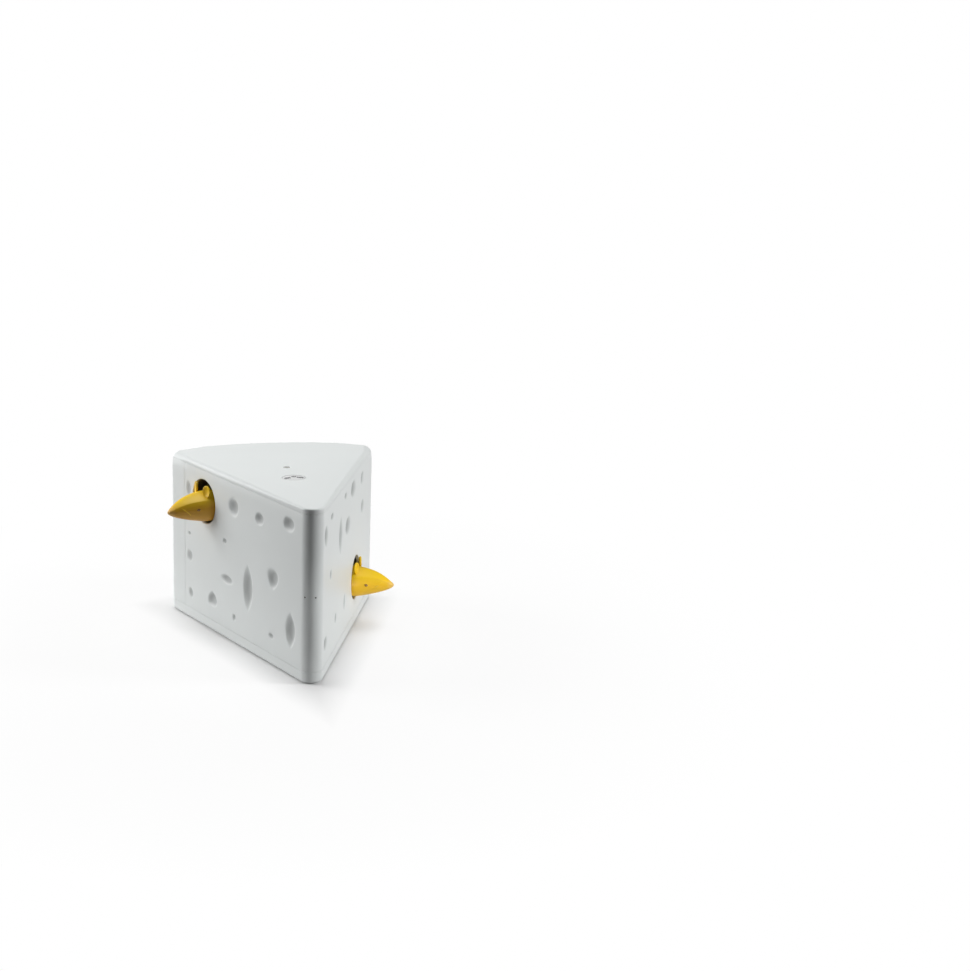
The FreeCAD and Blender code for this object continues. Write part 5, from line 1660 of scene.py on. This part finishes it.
class CATTOY_OT_power(bpy.types.Operator):
    """Build the four cells with their springs and contact plates"""
    bl_idname = "cattoy.power"
    bl_label = "Cells and Contacts"

    def execute(self, context):
        tip = turned("tip_shape", [(0, 0), (1.08, 0), (1, 0.08), (1, 0.85), (0.93, 0.97),
                                   (0.8, 1), (0, 1)], 32)
        body = cell_body("body_shape")
        plate = linked("plate_shape", lathe("plate_shape", [
            (0, 0), (0.97, 0), (1, -0.2), (1, -0.8), (0.97, -1), (0, -1)], squared_ring(40, 7)))
        cells, tips, springs = [], [], []
        for i, (low, high) in enumerate(solids_of("battery_cells")):
            across, level = (low.x + high.x) / 2, (low.z + high.z) / 2
            way = -1 if i % 2 else 1
            near, far = (high.y, low.y) if way < 0 else (low.y, high.y)
            aim = Vector((0, way, 0))
            cells.append((Vector((across, far - way * CELL_TIP[1], level)), aim))
            tips.append((Vector((across, far + way * PLATE_AWAY, level)), -aim))
            springs.append((Vector((across, near - way * PLATE_AWAY, level)), aim))
        item = stamped("cells", cells, tip, body, CELL_TIP, CELL_BODY, "cell_wrap")
        dress(item, "housing", "cell_wrap", nodes=["battery_cells"])
        for name, places, nub in (("tip_contacts", tips, TIP_NUB),
                                  ("spring_plates", springs, SPRING_NUB)):
            item = stamped(name, places, tip, plate, nub, PLATE, "contact_steel")
            dress(item, "housing", "contact_steel", nodes=["battery_contacts"])
        starts = [(spot + aim * COIL["wire"], aim) for spot, aim in springs]
        item = grow("springs", "coil", placed_points("springs", starts), **COIL,
                    finish=material("contact_steel"))
        dress(item, "housing", "contact_steel")
        discarded(tip, body, plate)
        return {"FINISHED"}


class CATTOY_OT_mice(bpy.types.Operator):
    """Build the two mice with their ears, eyes and cheek creases"""
    bl_idname = "cattoy.mice"
    bl_label = "Mice"

    def execute(self, context):
        for way, place in MOUSE_SIDES.items():
            here, body = hole_frame(*place), way + "_mouse_body"
            dress(mouse_skin(way + "_mouse_skin", here), body, "mouse_yellow",
                  way + "_mouse_coat", [way + "_mouse"])
            for side, word in ((-1, "back"), (1, "fore")):
                for part, make, finish in (("ear", cupped_ear, way + "_mouse_coat"),
                                           ("eye", eye_bead, "eye_brown"),
                                           ("crease", cheek_crease, "crease_pale")):
                    item = make("%s_%s_%s" % (way, part, word), side, here)
                    dress(item, body, "mouse_yellow", finish)
        return {"FINISHED"}


class CATTOY_OT_button(bpy.types.Operator):
    """Build the button with its printed marks, and the lamp window"""
    bl_idname = "cattoy.button"
    bl_label = "Button and Lamp"

    def execute(self, context):
        centre = middle("power_button")
        rim, wide, foot = BUTTON_RADIUS, BUTTON_RADIUS + FLANGE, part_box("power_button")[0].z
        profile = [(0, foot), (STEM_RADIUS, foot), (STEM_RADIUS, FLANGE_LOW), (wide, FLANGE_LOW),
                   (wide, FLANGE_LOW + FLANGE), (rim, FLANGE_LOW + FLANGE),
                   (rim, dome_height(rim) - 0.35 * MM),
                   (rim - 0.1 * MM, dome_height(rim) - 0.12 * MM)]
        inner = rim - 0.35 * MM
        profile += [(inner * i / 14, dome_height(inner * i / 14)) for i in range(14, -1, -1)]
        cap = turned("button_cap", profile, 96, centre)
        dress(cap, "button", "button_white", nodes=["power_button"])
        power_sign(centre)
        for word, shift in WORDS:
            word_sign(word, shift, centre)
        low, top = (corner.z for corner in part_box("lamp_lens"))
        wide, rim = LAMP_RADIUS + LAMP_FLANGE, LAMP_RADIUS
        profile = [(0, low), (wide, low), (wide, low + LAMP_FLANGE), (rim, low + LAMP_FLANGE),
                   (rim, top - 0.25 * MM), (rim - 0.1 * MM, top - 0.1 * MM),
                   (rim - 0.3 * MM, top - 0.05 * MM), (1.5 * MM, top - 0.01 * MM), (0, top)]
        lens = turned("lamp_window", profile, 48, middle("lamp_lens"))
        dress(lens, "housing", "lens_dark", nodes=["lamp_lens"])
        return {"FINISHED"}


class CATTOY_OT_inside(bpy.types.Operator):
    """Give every piece of the drives and the board its finish"""
    bl_idname = "cattoy.inside"
    bl_label = "Drives and Board"

    def execute(self, context):
        coat_nodes()
        return {"FINISHED"}


class CATTOY_OT_stage(bpy.types.Operator):
    """Set the camera, the lamps, the background and the floor"""
    bl_idname = "cattoy.stage"
    bl_label = "Stage"

    def execute(self, context):
        floor = turned("studio_floor", FLOOR, 96)
        floor.data.materials.append(studio_paper("studio_paper"))
        set_camera()
        set_world()
        set_lamps()
        context.scene.view_settings.view_transform = "Standard"
        return {"FINISHED"}


OPERATORS = (CATTOY_OT_walls, CATTOY_OT_cover, CATTOY_OT_base, CATTOY_OT_screws, CATTOY_OT_power,
             CATTOY_OT_mice, CATTOY_OT_button, CATTOY_OT_inside, CATTOY_OT_stage)


class CATTOY_PT_panel(bpy.types.Panel):
    """The steps and settings of the cat toy box"""
    bl_label = "Cat Toy Box"
    bl_idname = "CATTOY_PT_panel"
    bl_space_type = "VIEW_3D"
    bl_region_type = "UI"
    bl_category = "Cat Toy"

    def draw(self, context):
        for settings in (context.scene.cat_toy_sizes, context.scene.cat_toy_colours):
            box = self.layout.box()
            for name in settings.__annotations__:
                box.prop(settings, name)
        for operator in OPERATORS:
            self.layout.operator(operator.bl_idname)


CLASSES = (CatToySizes, CatToyColours, *OPERATORS, CATTOY_PT_panel)


def register():
    for item in CLASSES:
        bpy.utils.register_class(item)
    bpy.types.Scene.cat_toy_sizes = bpy.props.PointerProperty(type=CatToySizes)
    bpy.types.Scene.cat_toy_colours = bpy.props.PointerProperty(type=CatToyColours)


def unregister():
    del bpy.types.Scene.cat_toy_colours
    del bpy.types.Scene.cat_toy_sizes
    for item in reversed(CLASSES):
        bpy.utils.unregister_class(item)


def main():
    register()
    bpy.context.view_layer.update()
    bpy.ops.cattoy.walls()
    bpy.ops.cattoy.cover()
    bpy.ops.cattoy.base()
    bpy.ops.cattoy.screws()
    bpy.ops.cattoy.power()
    bpy.ops.cattoy.mice()
    bpy.ops.cattoy.button()
    bpy.ops.cattoy.inside()
    bpy.ops.cattoy.stage()


if __name__ == "__main__":
    main()
